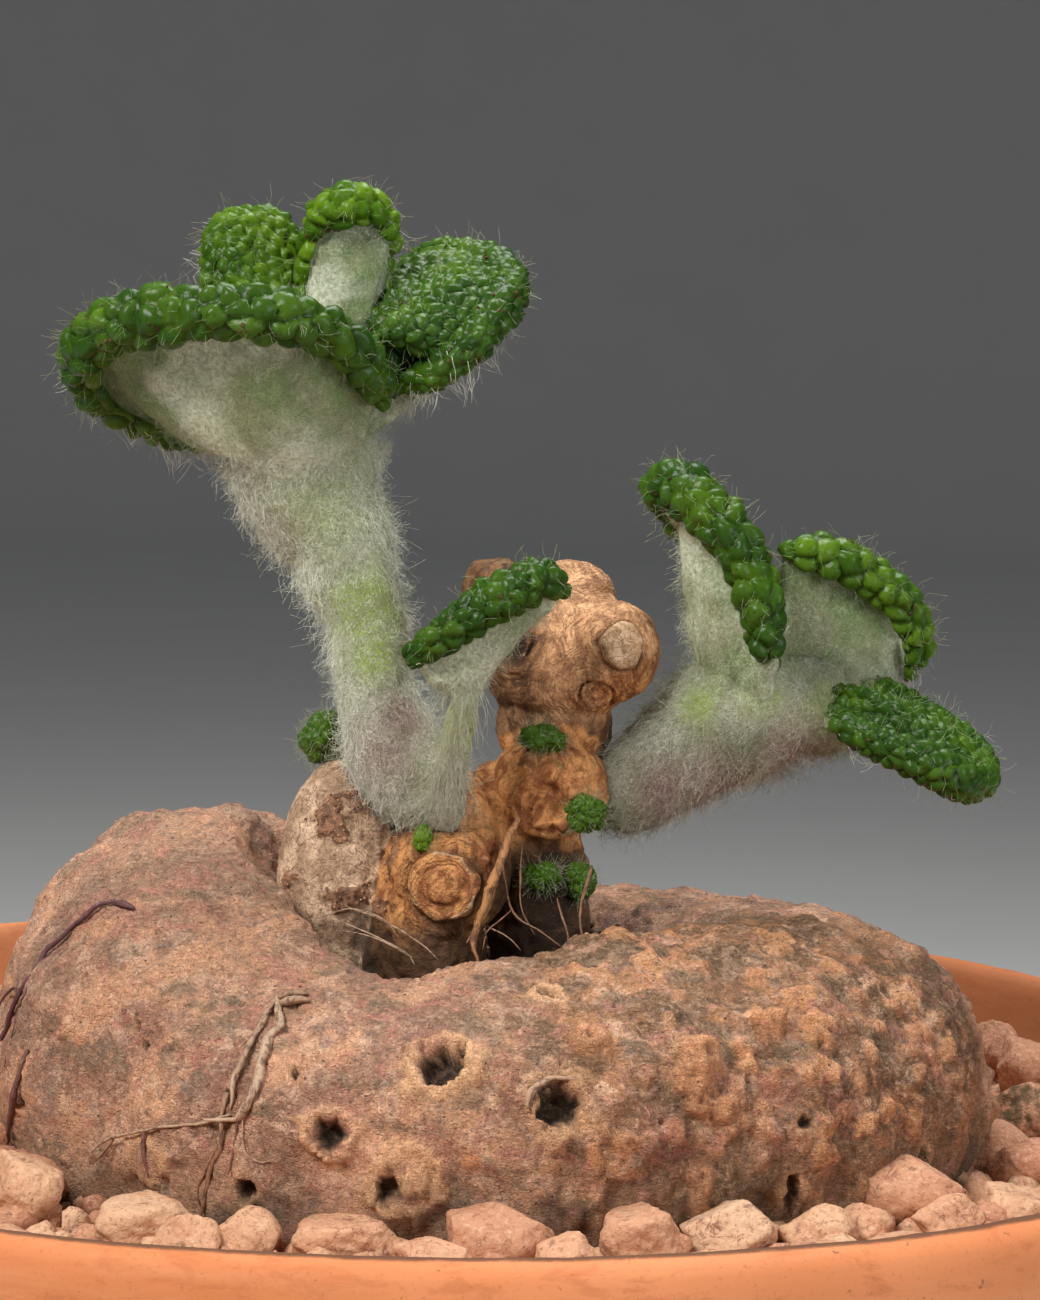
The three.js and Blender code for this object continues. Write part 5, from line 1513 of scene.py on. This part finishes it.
    pit = away(co, [7.6, -4.9, 99.6], [1, 0.6, 0.85])
    lift -= 1.5 * (1 - smooth(pit, 0.9, 1.9))
    co += n * lift[:, None]
    move_points(mesh, co)
    # Painted shade: darker towards the hollow, in the pit, under the buds and in the seam between two
    # stumps
    dark = np.maximum(1 - smooth(z + 1.2 * rough(co, 2.5, 8), 72, 77.5), 1 - smooth(pit, 1.1, 2.2))
    under_buds = away(co, [10.4, -5, 77], [0.8, 0.4, 0.8])
    dark = np.maximum(dark * (1 - 0.75 * pale), 0.9 * (1 - smooth(under_buds, 3, 5.4)))
    seam = away(co, [-4.9, -7, 72], [1.2, 0.4, 0.35]) + 0.8 * rough(co, 1.4, 71, 2)
    dark = np.maximum(dark, 0.85 * (1 - smooth(seam, 0.6, 2.2)))
    add_values(mesh, pale=pale, **mark, dark=dark, wrap=wrap, ribbed=ribbed, tan=knob, grit=crust * 0.3)
    return finished(place("old_stumps_wood", mesh, wood), "stump", "old_stumps")


# Stems

# Tinges of stems and of the undersides of leaves: [place, reach, strength]
LIME = {
    "stem_left": [[[-5.6, -6, 102.8], 3.2, 1.6], [[-4.6, -6.5, 98.6], 2.6, 1.4], [[-9.6, -6, 112], 5, 0.6],
                  [[1.5, -8, 88], 2.4, 0.7], [[-7, -6, 116], 3.4, 0.5]],
    "stem_right": [[[26.2, -5, 99], 2, 1.2], [[24.8, -5, 95], 2, 1.2], [[31, -4, 96], 2.2, 1],
                   [[33, -4, 99], 2, 0.8], [[36, -3, 94.6], 2.6, 0.5]],
    "stem_middle": [[[3.6, -13.6, 93], 3.6, 1]],
}
ROSE = {
    "stem_left": [[[-1.6, -8, 93.4], 2.8, 1.2], [[-3, -8, 89.6], 3.4, 1], [[2, -9, 90], 2.6, 0.8],
                  [[-14, -5, 110], 2.6, 0.5]],
    "stem_right": [[[22, -4, 86.6], 3.4, 1.2], [[27.2, -4, 86.4], 4, 1.2], [[34, -3, 89.6], 4, 1]],
}
# Where the wool is painted darker, for the skin that shows through it and as painted shade under the
# leaves, and where it is painted whiter, for white wool and as painted light along the lit edges
DARK = {
    "stem_left": [[[-1.6, -8, 93.4], 2, 0.7]],
    "stem_right": [[[22, -4, 86.6], 3, 0.2], [[38, -2, 97], 4, 0.4], [[28, -5, 97], 4, 0.5]],
    "leaf_left_front": [[[-28.6, -6, 124], 6, 1], [[-24.6, -5, 119.6], 4, 1], [[-12, -8, 121], 6, 1]],
    "leaf_right_upper": [[[33.8, -3, 107], 4, 1], [[40, -1, 102], 5, 0.9], [[36, 0, 100], 3, 0.6]],
    "leaf_right_front": [[[27, -4, 98], 4.4, 0.5]],
    "leaf_left_middle": [[[-7, -2, 127], 3, 0.9], [[-6, -2, 133], 2.4, 0.7]],
}
WHITE = {
    "stem_left": [[[-10.9, -3, 104.6], 2.6, 1], [[-9, -4, 99.7], 2.6, 1], [[-7, -6, 94.4], 3, 1],
                  [[-5.7, -6, 90.8], 3, 1], [[-3, -8, 87], 3, 0.6], [[-16, -4, 113], 3, 1],
                  [[-13.6, -5, 109], 2.4, 0.8], [[-8, -6, 113.4], 5, 1.2]],
    "stem_right": [[[21.7, -4, 99], 3, 0.7], [[19.7, -3, 94.7], 3, 0.7], [[22, -4, 91], 3, 0.5],
                   [[28.7, -5, 94], 2.4, 0.7], [[33, -5, 97.6], 2.6, 0.7], [[26, -5, 87], 4, 0.9]],
    "leaf_left_front": [[[-21.9, -7, 122.6], 3, 0.8], [[-19.5, -7, 119.6], 3.2, 1],
                        [[-16.8, -7, 115.4], 3, 1], [[-11.5, -8, 116.4], 4, 1.2]],
    "leaf_right_front": [[[22.9, -4, 107], 5, 0.4]],
    "leaf_left_middle": [[[-10.6, -2, 131], 2, 0.7]],
}


def tinge(co, table, name):
    """How strong a tinge of a piece is at each of its points."""
    value = np.zeros(len(co))
    for spot, reach, strength in table.get(name, []):
        far = away(co, spot) * (1 + 0.3 * rough(co, 2.4, 3))
        value = np.maximum(value, strength * ridge(far, 0, reach))
    return value


def wool_shade(co, name, mean, uneven):
    """How dark the wool is painted, from -1 where it is whitest, with white wool and painted light, to 1
    where it is darkest, with the skin showing and painted shade.
    """
    patchy = mean + uneven * rough(co, 3.4, 18, 2)
    return np.clip(1.2 * tinge(co, DARK, name) + patchy - tinge(co, WHITE, name), -1, 1)


def wool_density(co):
    return np.clip(0.85 + 0.3 * rough(co, 2.5, 9), 0.3, 1.2)


def build_stem(name, flesh):
    """A felted stem: oval sections along its path, with the values that its wool grows by."""
    spec = STEMS[name]
    step, columns, nib = 0.32, 84, 0.8
    path, knots = spec["path"], len(spec["path"])
    rows = round(spline_length(path) / step)
    u = even(path, rows)
    line, way = spline(path, u), spline_way(path, u)
    side = unit(np.cross([0.0, 1.0, 0.0], way))
    depth = np.cross(way, side)
    end = np.minimum(np.arange(rows), np.arange(rows)[::-1]) * step
    close = (0.72 + 0.28 * smooth(end, 0, 1.8)) * spec.get("slim", 1)
    wide, deep = (np.interp(u * (knots - 1), np.arange(knots), spec[size]) * close
                  for size in ("wide", "deep"))
    a = circle(columns)[None, :, None]
    rings = (line[:, None] + np.cos(a) * (wide[:, None] * side)[:, None]
             + np.sin(a) * (deep[:, None] * depth)[:, None])
    mesh = closed_rings(name + "_flesh", rings, line[0] - nib * way[0], line[-1] + nib * way[-1])
    co, n = points_of(mesh), normals_of(mesh)
    co += n * (0.3 * rough(co, 4, 2, 2) + 0.12 * rough(co, 1.3, 5, 2))[:, None]
    move_points(mesh, co)
    lime = tinge(co, LIME, name)
    near = np.argmin(((co[:, None] - line[None, ::4]) ** 2).sum(2), axis=1)
    down = -way[::4][near]
    low = 1 - 0.35 * (1 - smooth(co[:, 2], 86, 89))
    sparse = 0.15 if name == "stem_middle" else 1
    add_values(mesh, flow=down + 0.7 * wander(co, 3, 21, 2), lime=lime, rose=tinge(co, ROSE, name),
               # The right stem's wool is painted darker all over: painted shade
               shade=wool_shade(co, name, 0.4 if name == "stem_right" else 0, 0.45),
               wool=sparse * wool_density(co) * (1 - 0.5 * lime),
               shag=np.clip(1 + 0.4 * rough(co, 3.5, 11), 0.5, 1.6) * (1 - 0.25 * lime) * low)
    return finished(place(name + "_flesh", mesh, flesh), "wool", name)


# Leaves

def leaf_rings(spec, step):
    """Sections across a rolled margin, with the part of the section that each point is on."""
    margin, foot = spec["margin"], spec["foot"]

    def frame_at(u):
        centre, base, t = spline(margin, u), spline(foot, u), spline_way(margin, u)
        return centre, base, t, np.cross(t, unit(centre - base))

    # The way that the upper face looks, steadied by its mean so that it doesn't twist
    sign = np.sign(frame_at(np.array([0.5]))[3][0] @ np.array(spec["green"], float))
    samples, hold = 17, 0.35
    mean = unit(frame_at(np.linspace(0, 1, samples))[3].sum(0)) * hold
    u = even(margin, max(30, round(spline_length(margin) / step)))
    centre, base, t, face = frame_at(u)
    face = face + mean
    n = unit(face - t * (face * t).sum(1, keepdims=True)) * sign
    across = np.cross(n, t) * sign

    # The roll: its radius, half the blade's thickness, and where the blade's two faces meet it
    low, power = spec.get("ends", [0.5, 0.6])
    thin = low + (1 - low) * np.maximum(np.sin(np.pi * u), 0) ** power
    r = spec["radius"] * thin
    half = np.minimum(spec["blade"] / 2 * (0.6 + 0.4 * thin), 0.85 * r)
    start = 2 * np.pi - np.arccos((r - 2 * half) / r)

    def on_roll(angle):
        return (centre[:, None] + n[:, None] * (r[:, None] * np.cos(angle))[..., None]
                + across[:, None] * (r[:, None] * np.sin(angle))[..., None])

    first = on_roll(start[:, None])[:, 0]
    last = on_roll(np.zeros((len(u), 1)))[:, 0]

    # The blade's two faces, from its foot to the roll
    lower = base + unit(base - centre) * spec.get("reach", 1.2) + n * spec.get("sink", 0.8)
    upper = lower + n * 1.4 * half[:, None] + spec.get("fill", 0)
    blade_count = max(4, round(np.linalg.norm(first - lower, axis=1).max() / step))
    roll_count = max(12, round((r * start).max() / step))
    w = np.linspace(0, 1, blade_count, endpoint=False)[None, :, None]
    full = (base - n * half[:, None])[:, None] * (1 - w) + first[:, None] * w
    under = lower[:, None] * (1 - w) + first[:, None] * w
    under = under + (full - under) * smooth(w, 0, 0.45)
    bulge = spec.get("swell", 0) * np.sin(np.pi * w) * np.minimum(1, np.sin(np.pi * u) * 2.4)[:, None, None]
    over = (upper[:, None] * (1 - w) + last[:, None] * w + n[:, None] * bulge)[:, ::-1]
    roll = on_roll(start[:, None] * np.linspace(1, 0, roll_count + 1)[None])
    rings = np.concatenate([under, roll, over], axis=1)
    middle = (under + over[:, ::-1]) / 2
    spine = np.concatenate([middle, np.repeat(centre[:, None], roll_count + 1, 1), middle[:, ::-1]], axis=1)
    part = np.concatenate([np.full(blade_count, 1.0),
                           1 - smooth(np.linspace(0, 1, roll_count + 1), 0.03, 0.17),
                           np.zeros(blade_count)])

    # Round caps at both ends
    caps = 6
    rows = [rings]
    for at, way in ((0, -1), (-1, 1)):
        angle = np.linspace(0, np.pi / 2, caps + 1)[1:, None, None]
        cap = (spine[at][None] + (rings[at] - spine[at])[None] * np.cos(angle)
               + way * t[at] * r[at] * 0.8 * np.sin(angle))
        rows = [cap[::-1]] + rows if at == 0 else rows + [cap]
    rings = np.concatenate(rows)
    part = np.broadcast_to(part, rings.shape[:2]).copy()
    if "swell" not in spec:
        part[:caps + 3, -blade_count - 2:] = part[-caps - 3:, -blade_count - 2:] = 1
    return rings, part


def build_leaf(name, finish, seed):
    """A bullate leaf: a rolled margin, domed all over its upper face and felted below."""
    spec = LEAVES[name]
    pitch = spec["pitch"]
    small_pitch = 0.46 * pitch
    rings, part = leaf_rings(spec, 0.28 if pitch > 2 else 0.23)
    faces = ring_faces(*rings.shape[:2])
    mesh = weld(to_mesh(name + "_blade", rings.reshape(-1, 3), faces, under=part.ravel()), 2e-6)
    under = value_of(mesh, "under")
    co, n = points_of(mesh), normals_of(mesh)
    warped = co + 0.22 * pitch * wander(co, 2.2, 31)
    upper = (under < 0.6) * 1.0
    centres = spread(warped, upper, pitch, seed)
    dome, owner = pillows(warped, centres, pitch, 1.15)
    rng = np.random.default_rng(seed + 9)
    tall = rng.uniform(0.7, 1.15, len(centres))[owner]
    cells, _ = pillows(warped, spread(warped, upper, small_pitch, seed + 40), small_pitch)
    top = (0.5 * pitch * tall * dome + 0.045 * pitch * cells) * (1 - under)
    folds = 0.25 * rough(co, 6, 3, 2) + 0.12 * under * rough(co, 1.5, 8, 2)
    co += n * (top - 0.17 * pitch * (1 - under) + folds)[:, None]
    move_points(mesh, co)
    add_values(mesh, dome=dome * (0.84 + 0.16 * cells) * (1 - under),
               tint=rng.random(len(centres))[owner],
               lit=np.clip(spec.get("lit", 0) + 0.25 * rough(co, 4, 27, 2), 0, 1),
               grit=(rough(co, 2.2, 29, 2) > 0.8) * (under < 0.4) * 0.6,
               shade=wool_shade(co, name, 0.3, 0.4),
               wool=smooth(under, 0.3, 0.8) * wool_density(co),
               shag=np.clip(1 + 0.35 * rough(co, 3, 11), 0.5, 1.6),
               lime=np.clip(0.5 * rough(co, 4, 15), 0, 1),
               rose=np.clip(0.5 * rough(co, 4, 16) - 0.15, 0, 1),
               flow=[0, 0, -0.6] + 0.7 * wander(co, 3, 21))
    return finished(place(name + "_blade", mesh, finish), "leaf", name)


def build_bud(name, finish, seed):
    """A bud: small leaves folded into a blistered ball."""
    centre, radii = BUDS[name]
    mesh, way = ball(name + "_leaves", 5)
    co = np.array(centre) + way * np.array(radii)
    pitch = 0.85 if radii[0] > 1 else 0.6
    centres = spread(co, np.ones(len(co)), pitch, seed)
    dome, owner = pillows(co, centres, pitch)
    rng = np.random.default_rng(seed)
    lobes = 0.25 * min(radii) * rough(co, 1.3, seed, 2)
    co += way * (lobes + 0.24 * pitch * dome - 0.1)[:, None]
    move_points(mesh, co)
    mesh.shade_smooth()
    add_values(mesh, dome=dome, tint=0.5 + 0.5 * rng.random(len(centres))[owner], under=0, shade=0,
               lit=0.9 if name == "sprout" else 0.15)
    return finished(place(name + "_leaves", mesh, finish), "bud", name)


# Wool and hairs

# Kinds of hair: how dense, how long and thick in metres, how far they stand up, lie along the flow,
# scatter, curl and droop, and how many joints they have
HAIRS = {
    "wool": {"per_mm2": 11.0, "length": 1.4 * MM, "thickness": 0.014 * MM, "stand": 0.25, "lay": 0.5,
             "scatter": 0.7, "curl": 0.5, "droop": 0.1, "joints": 3},
    "down": {"per_mm2": 2.4, "length": 2.1 * MM, "thickness": 0.012 * MM, "stand": 0.5, "lay": 0.4,
             "scatter": 0.6, "curl": 0.8, "droop": 0.1, "joints": 5},
    "felt": {"per_mm2": 9.0, "length": 1.2 * MM, "thickness": 0.012 * MM, "stand": 0.3, "lay": 0.4,
             "scatter": 0.8, "curl": 0.5, "droop": 0.1, "joints": 3},
    "bristles": {"per_mm2": 0.5, "length": 1.6 * MM, "thickness": 0.012 * MM, "stand": 1.0, "lay": 0.6,
                 "scatter": 0.6, "curl": 0.4, "droop": 0.1, "joints": 3},
    "fuzz": {"per_mm2": 6.0, "length": 1.0 * MM, "thickness": 0.01 * MM, "stand": 1.0, "lay": 0.3,
             "scatter": 0.5, "curl": 0.4, "droop": 0.05, "joints": 3},
}
# Crumbs: how far apart, and the smallest and largest, in metres
CRUMBS = {
    "hollow": {"spacing": 0.75 * MM, "smallest": 0.2 * MM, "largest": 0.65 * MM},
    "crust": {"spacing": 0.2 * MM, "smallest": 0.06 * MM, "largest": 0.24 * MM},
    "flake": {"spacing": 0.4 * MM, "smallest": 0.05 * MM, "largest": 0.26 * MM},
}


def bristle_bed(piece):
    """A copy of a leaf or bud whose wool value asks for bristles over its domes."""
    mesh = piece.data.copy()
    add_values(mesh, wool=1 - value_of(mesh, "under"), shag=1, flow=wander(points_of(mesh), 2, 21))
    return mesh


def hair_mesh(name, lines, radius, tints, finish, rose=0.0, lime=0.0, shade=-0.4):
    """Tapering three-sided hairs along given lines [hair, joint, xyz]."""
    lines = np.array(lines)
    hairs, joints, _ = lines.shape
    way = unit(np.gradient(lines, axis=1))
    side = unit(np.cross(way, [0.36, 0.48, 0.8]))
    other = np.cross(way, side)
    thick = radius * np.linspace(1, 0.3, joints)[None, :, None]
    ring = np.stack([lines + thick * (math.cos(k) * side + math.sin(k) * other)
                     for k in np.radians([0, 120, 240])], axis=2)
    one = ring_faces(joints, 3)
    size = joints * 3
    faces = np.concatenate([one + h * size for h in range(hairs)]).tolist()
    for s in range(0, hairs * size, size):
        faces.append([s + 2, s + 1, s])
        faces.append([s + size - 3, s + size - 2, s + size - 1])
    mesh = to_mesh(name, ring.reshape(-1, 3), faces, tint=np.repeat(tints, size), rose=rose, lime=lime,
                   shade=shade)
    return place(name, mesh, finish)


# Matted tufts under a leaf, each to a point: place on its margin, width, fall, how many hairs
TUFTS = {
    "leaf_left_front": [
        [0.0, 0.08, [2, -0.6, -3.4], 40], [0.06, 0.07, [1, -0.8, -4.4], 40],
        [0.12, 0.06, [0, -0.8, -3.2], 34], [0.18, 0.06, [-1.2, -0.6, -2.6], 30],
        [0.25, 0.07, [-2.4, -0.4, -1.6], 26], [0.3, 0.05, [-2, -0.4, 0.4], 14]],
    "leaf_left_right": [
        [0.02, 0.08, [0.6, -0.8, -3.4], 36], [0.1, 0.07, [0.2, -0.8, -2.8], 34],
        [0.18, 0.07, [1.4, -0.6, -3.6], 40], [0.27, 0.07, [1.8, -0.6, -3], 38],
        [0.36, 0.06, [2.2, -0.4, -1.8], 28], [0.45, 0.05, [2, -0.2, 0.6], 14]],
    "leaf_left_back": [[0.06, 0.08, [-2, -0.4, -1.4], 28], [0.2, 0.08, [-2.4, -0.4, 0.2], 24],
                       [0.34, 0.06, [-1.6, -0.4, 1], 14]],
    "leaf_left_middle": [[0.82, 0.1, [1.6, -0.4, 0.8], 14]],
    "leaf_right_upper": [[0.9, 0.07, [1.4, -0.6, -2], 26], [1.0, 0.06, [0.4, -0.6, -2.8], 30]],
    "leaf_right_lower": [[0.12, 0.1, [-1, -0.6, -1.6], 26], [0.34, 0.1, [0.6, -0.6, -1.9], 26]],
    "leaf_right_front": [[0.94, 0.08, [-0.5, -1, -2.4], 26]],
    "leaf_middle": [[0.1, 0.2, [-0.4, -0.8, -1.6], 16]],
}
TUFT_JOINTS = 8
SILK_JOINTS = 7
SILK_HAIRS = 520


def build_tufts(wool):
    """Curly tufts under the leaf edges, and the silky skirt of the middle stalk."""
    rng = np.random.default_rng(12)
    lines = []
    along = np.linspace(0, 1, TUFT_JOINTS)[:, None]
    for leaf, rows in TUFTS.items():
        margin, radius = LEAVES[leaf]["margin"], LEAVES[leaf]["radius"]
        for at, wide, fall, count in rows:
            tip = spline(margin, np.array([at]))[0] + np.array(fall)
            for root in spline(margin, rng.uniform(at - wide, at + wide, count)):
                root = root + rng.normal(0, 0.35 * radius, 3)
                end = root + (tip + rng.normal(0, 0.3, 3) - root) * rng.uniform(0.4, 1.1)
                curl = np.cumsum(rng.normal(0, 0.22, (TUFT_JOINTS, 3)), axis=0)
                lines.append(root * (1 - along) + end * along + curl * (1 - 0.6 * along))
    finished(hair_mesh("wool_tufts", lines, 0.03, rng.random(len(lines)), wool, 0.3), "wool")

    stalk, foot, tall = STEMS["stem_middle"]["path"], 84, 11.4
    along = np.linspace(0, 1, SILK_JOINTS)[:, None]
    lines = []
    for _ in range(SILK_HAIRS):
        a = rng.uniform(-2.2, 1.2)
        z = rng.uniform(85.6, 98)
        line = spline(stalk, np.array([(z - foot) / tall]))[0]
        wide = 0.6 + 1.5 * float(smooth(93 - z, 0, 8)) + 1.1 * float(smooth(z, 95, 98))
        start = line + [wide * math.sin(a), -1.2 * abs(math.cos(a)), max(z - 95.4, 0)]
        fall = rng.uniform(1.5, 6)
        spread_out = rng.normal(0, 0.22) * fall + (start[0] - line[0]) * 0.3 * fall - 0.05 * fall
        end = start + [spread_out, -rng.uniform(0.1, 1.2), -fall]
        end[2] = max(end[2], foot + rng.normal(0, 1.1))
        end[1] = min(end[1], -9.0)
        middle = (start + end) / 2 + [rng.normal(0, 0.3), -rng.uniform(0.2, 0.8), rng.normal(0, 0.3)]
        curl = 0.2 * np.cumsum(rng.normal(0, 1, (SILK_JOINTS, 3)), axis=0)
        lines.append((1 - along) ** 2 * start + 2 * along * (1 - along) * middle + along ** 2 * end + curl)
    silk = hair_mesh("stem_middle_silk", lines, 0.017, rng.random(len(lines)), wool, 0.35, 0.12, 0.3)
    finished(silk, "wool")


# Staging

def aim(piece, at, target):
    """Stands a light or camera at a place, looking at another, both in millimetres."""
    way = Vector(target) - Vector(at)
    piece.location = Vector(at) * MM
    piece.rotation_euler = way.to_track_quat("-Z", "Y").to_euler()


def area_light(name, at, target, size, watts, colour):
    lamp = bpy.data.lights.new(name, "AREA")
    lamp.shape = "DISK"
    lamp.size = size * MM
    lamp.energy = watts
    lamp.color = colour
    piece = bpy.data.objects.new(name, lamp)
    bpy.context.scene.collection.objects.link(piece)
    aim(piece, at, target)


def build_stage():
    """A pale paper sweep, a dim sky and three soft lights."""
    f = Finish("pale_floor")
    f.colour = f.mix(f.noise(60, 2), (0.56, 0.56, 0.55), (0.6, 0.6, 0.59))
    paper = f.close(0.85, f.bump(f.noise(1.2, 2), 0.02, 0.3))
    bend, flat, high, columns = 600, 1800, 1500, 96
    profile = [(r, 0) for r in (300, 700, 1200)]
    for a in np.linspace(0, np.pi / 2, 16):
        profile.append((flat + bend * math.sin(a), bend - bend * math.cos(a)))
    profile.append((flat + bend, high))
    a = circle(columns)
    rings = np.array([np.stack([r * np.cos(a), r * np.sin(a), np.full(columns, z)], axis=1)
                      for r, z in profile])
    faces = ring_faces(len(profile), columns)[:, ::-1].tolist() + [list(range(columns))]
    sweep = to_mesh("paper_sweep", rings.reshape(-1, 3), faces)
    place("paper_sweep", sweep, paper)

    world = bpy.data.worlds.new("studio_air")
    world.use_nodes = True
    sky = world.node_tree.nodes["Background"].inputs
    sky["Color"].default_value = (0.95, 0.97, 1.0, 1)
    sky["Strength"].default_value = 0.17
    bpy.context.scene.world = world
    area_light("key_light", (-250, -300, 420), (5, 0, 95), 200, 2.8, (1.0, 0.98, 0.95))
    area_light("fill_light", (360, -300, 240), (10, 0, 90), 260, 1.0, (0.97, 0.98, 1.0))
    area_light("top_light", (30, 120, 460), (5, 0, 95), 240, 1.4, (1.0, 1.0, 1.0))
    bpy.context.scene.view_settings.view_transform = "Standard"


# Matched to the photograph in millimetres, degrees and pixels of a 1040 x 1300 frame
CAMERA = {"at": (8.65, -328.67, 127.43), "pitch": 4.983, "roll": 1.4466, "focal": 3600, "high": 1300,
          "sensor": 36}


def build_camera():
    pitch, roll = math.radians(CAMERA["pitch"]), math.radians(CAMERA["roll"])
    ahead = Vector((0, math.cos(pitch), -math.sin(pitch)))
    right = Vector((1, 0, 0))
    up = right.cross(ahead)
    across = right * math.cos(roll) + up * math.sin(roll)
    upward = up * math.cos(roll) - right * math.sin(roll)
    lens = bpy.data.cameras.new("matched_camera")
    lens.sensor_fit = "VERTICAL"
    lens.sensor_height = CAMERA["sensor"]
    lens.lens = CAMERA["sensor"] * CAMERA["focal"] / CAMERA["high"]
    lens.clip_start = 0.01
    lens.clip_end = 10
    piece = bpy.data.objects.new("matched_camera", lens)
    bpy.context.scene.collection.objects.link(piece)
    turned = Matrix((across, upward, -ahead)).transposed().to_4x4()
    piece.matrix_world = Matrix.Translation(Vector(CAMERA["at"]) * MM) @ turned
    bpy.context.scene.camera = piece


# Making it all

clay, stone, ground, soil = fired_clay(), pebble_stone(), grit_ground(), peat()
cork, wood, root = corky_skin(), dead_wood(), dry_root()
dirt = crumb("dark_crumb", (0.03, 0.018, 0.012), (0.13, 0.066, 0.036))
rust = crumb("rusty_crumb", (0.16, 0.07, 0.04), (0.5, 0.27, 0.16), 0.995)
flake = crumb("brown_flake", (0.045, 0.022, 0.01), (0.13, 0.07, 0.035), 1.0)
green, flesh = blistered_green(), stem_flesh()
wool = white_wool("white_wool", (0.26, 0.27, 0.165), (0.97, 0.97, 0.83))
bristle = white_wool("pale_bristle", (0.24, 0.29, 0.12), (0.62, 0.65, 0.46))

build_pot(clay)
build_gravel(stone, ground)
tuber = build_tuber(cork)
build_roots(root)
stumps = build_stumps(wood)
crumbs, sprinkle = rock_box("crumb_shapes", 5, 1, 9, 0.1), grit_tree()
sprinkled("hollow_crumbs", tuber.data, sprinkle, "soil", stones=crumbs, sink=0.0, seed=9, finish=dirt,
          **CRUMBS["hollow"])
sprinkled("stump_crusts", stumps.data, sprinkle, "stump", stones=crumbs, sink=0.0, seed=4, finish=rust,
          **CRUMBS["crust"])

for slot in bpy.data.objects["soil"].material_slots:
    slot.material = soil

hairs = fibre_tree()
stems = {name: build_stem(name, flesh) for name in STEMS}
leaves = {name: build_leaf(name, green, 60 + k) for k, name in enumerate(LEAVES)}
buds = {name: build_bud(name, green, 80 + k) for k, name in enumerate(BUDS)}
for k, (name, stem) in enumerate(stems.items()):
    sprinkled(name + "_wool", stem.data, hairs, "wool", finish=wool, seed=k, **HAIRS["wool"])
    sprinkled(name + "_down", stem.data, hairs, "wool", finish=wool, seed=10 + k, **HAIRS["down"])
for k, (name, leaf) in enumerate(leaves.items()):
    sprinkled(name + "_felt", leaf.data, hairs, "leaf", finish=wool, seed=20 + k, **HAIRS["felt"])
    sprinkled(name + "_bristles", bristle_bed(leaf), hairs, "leaf", finish=bristle, seed=40 + k,
              **HAIRS["bristles"])
    sprinkled(name + "_flakes", leaf.data, sprinkle, "leaf", stones=crumbs, sink=0.0, seed=30 + k,
              finish=flake, **CRUMBS["flake"])
for k, (name, bud) in enumerate(buds.items()):
    sprinkled(name + "_fuzz", bristle_bed(bud), hairs, "bud", finish=bristle, seed=60 + k, **HAIRS["fuzz"])
empty_box(crumbs)
build_tufts(wool)
build_stage()
build_camera()
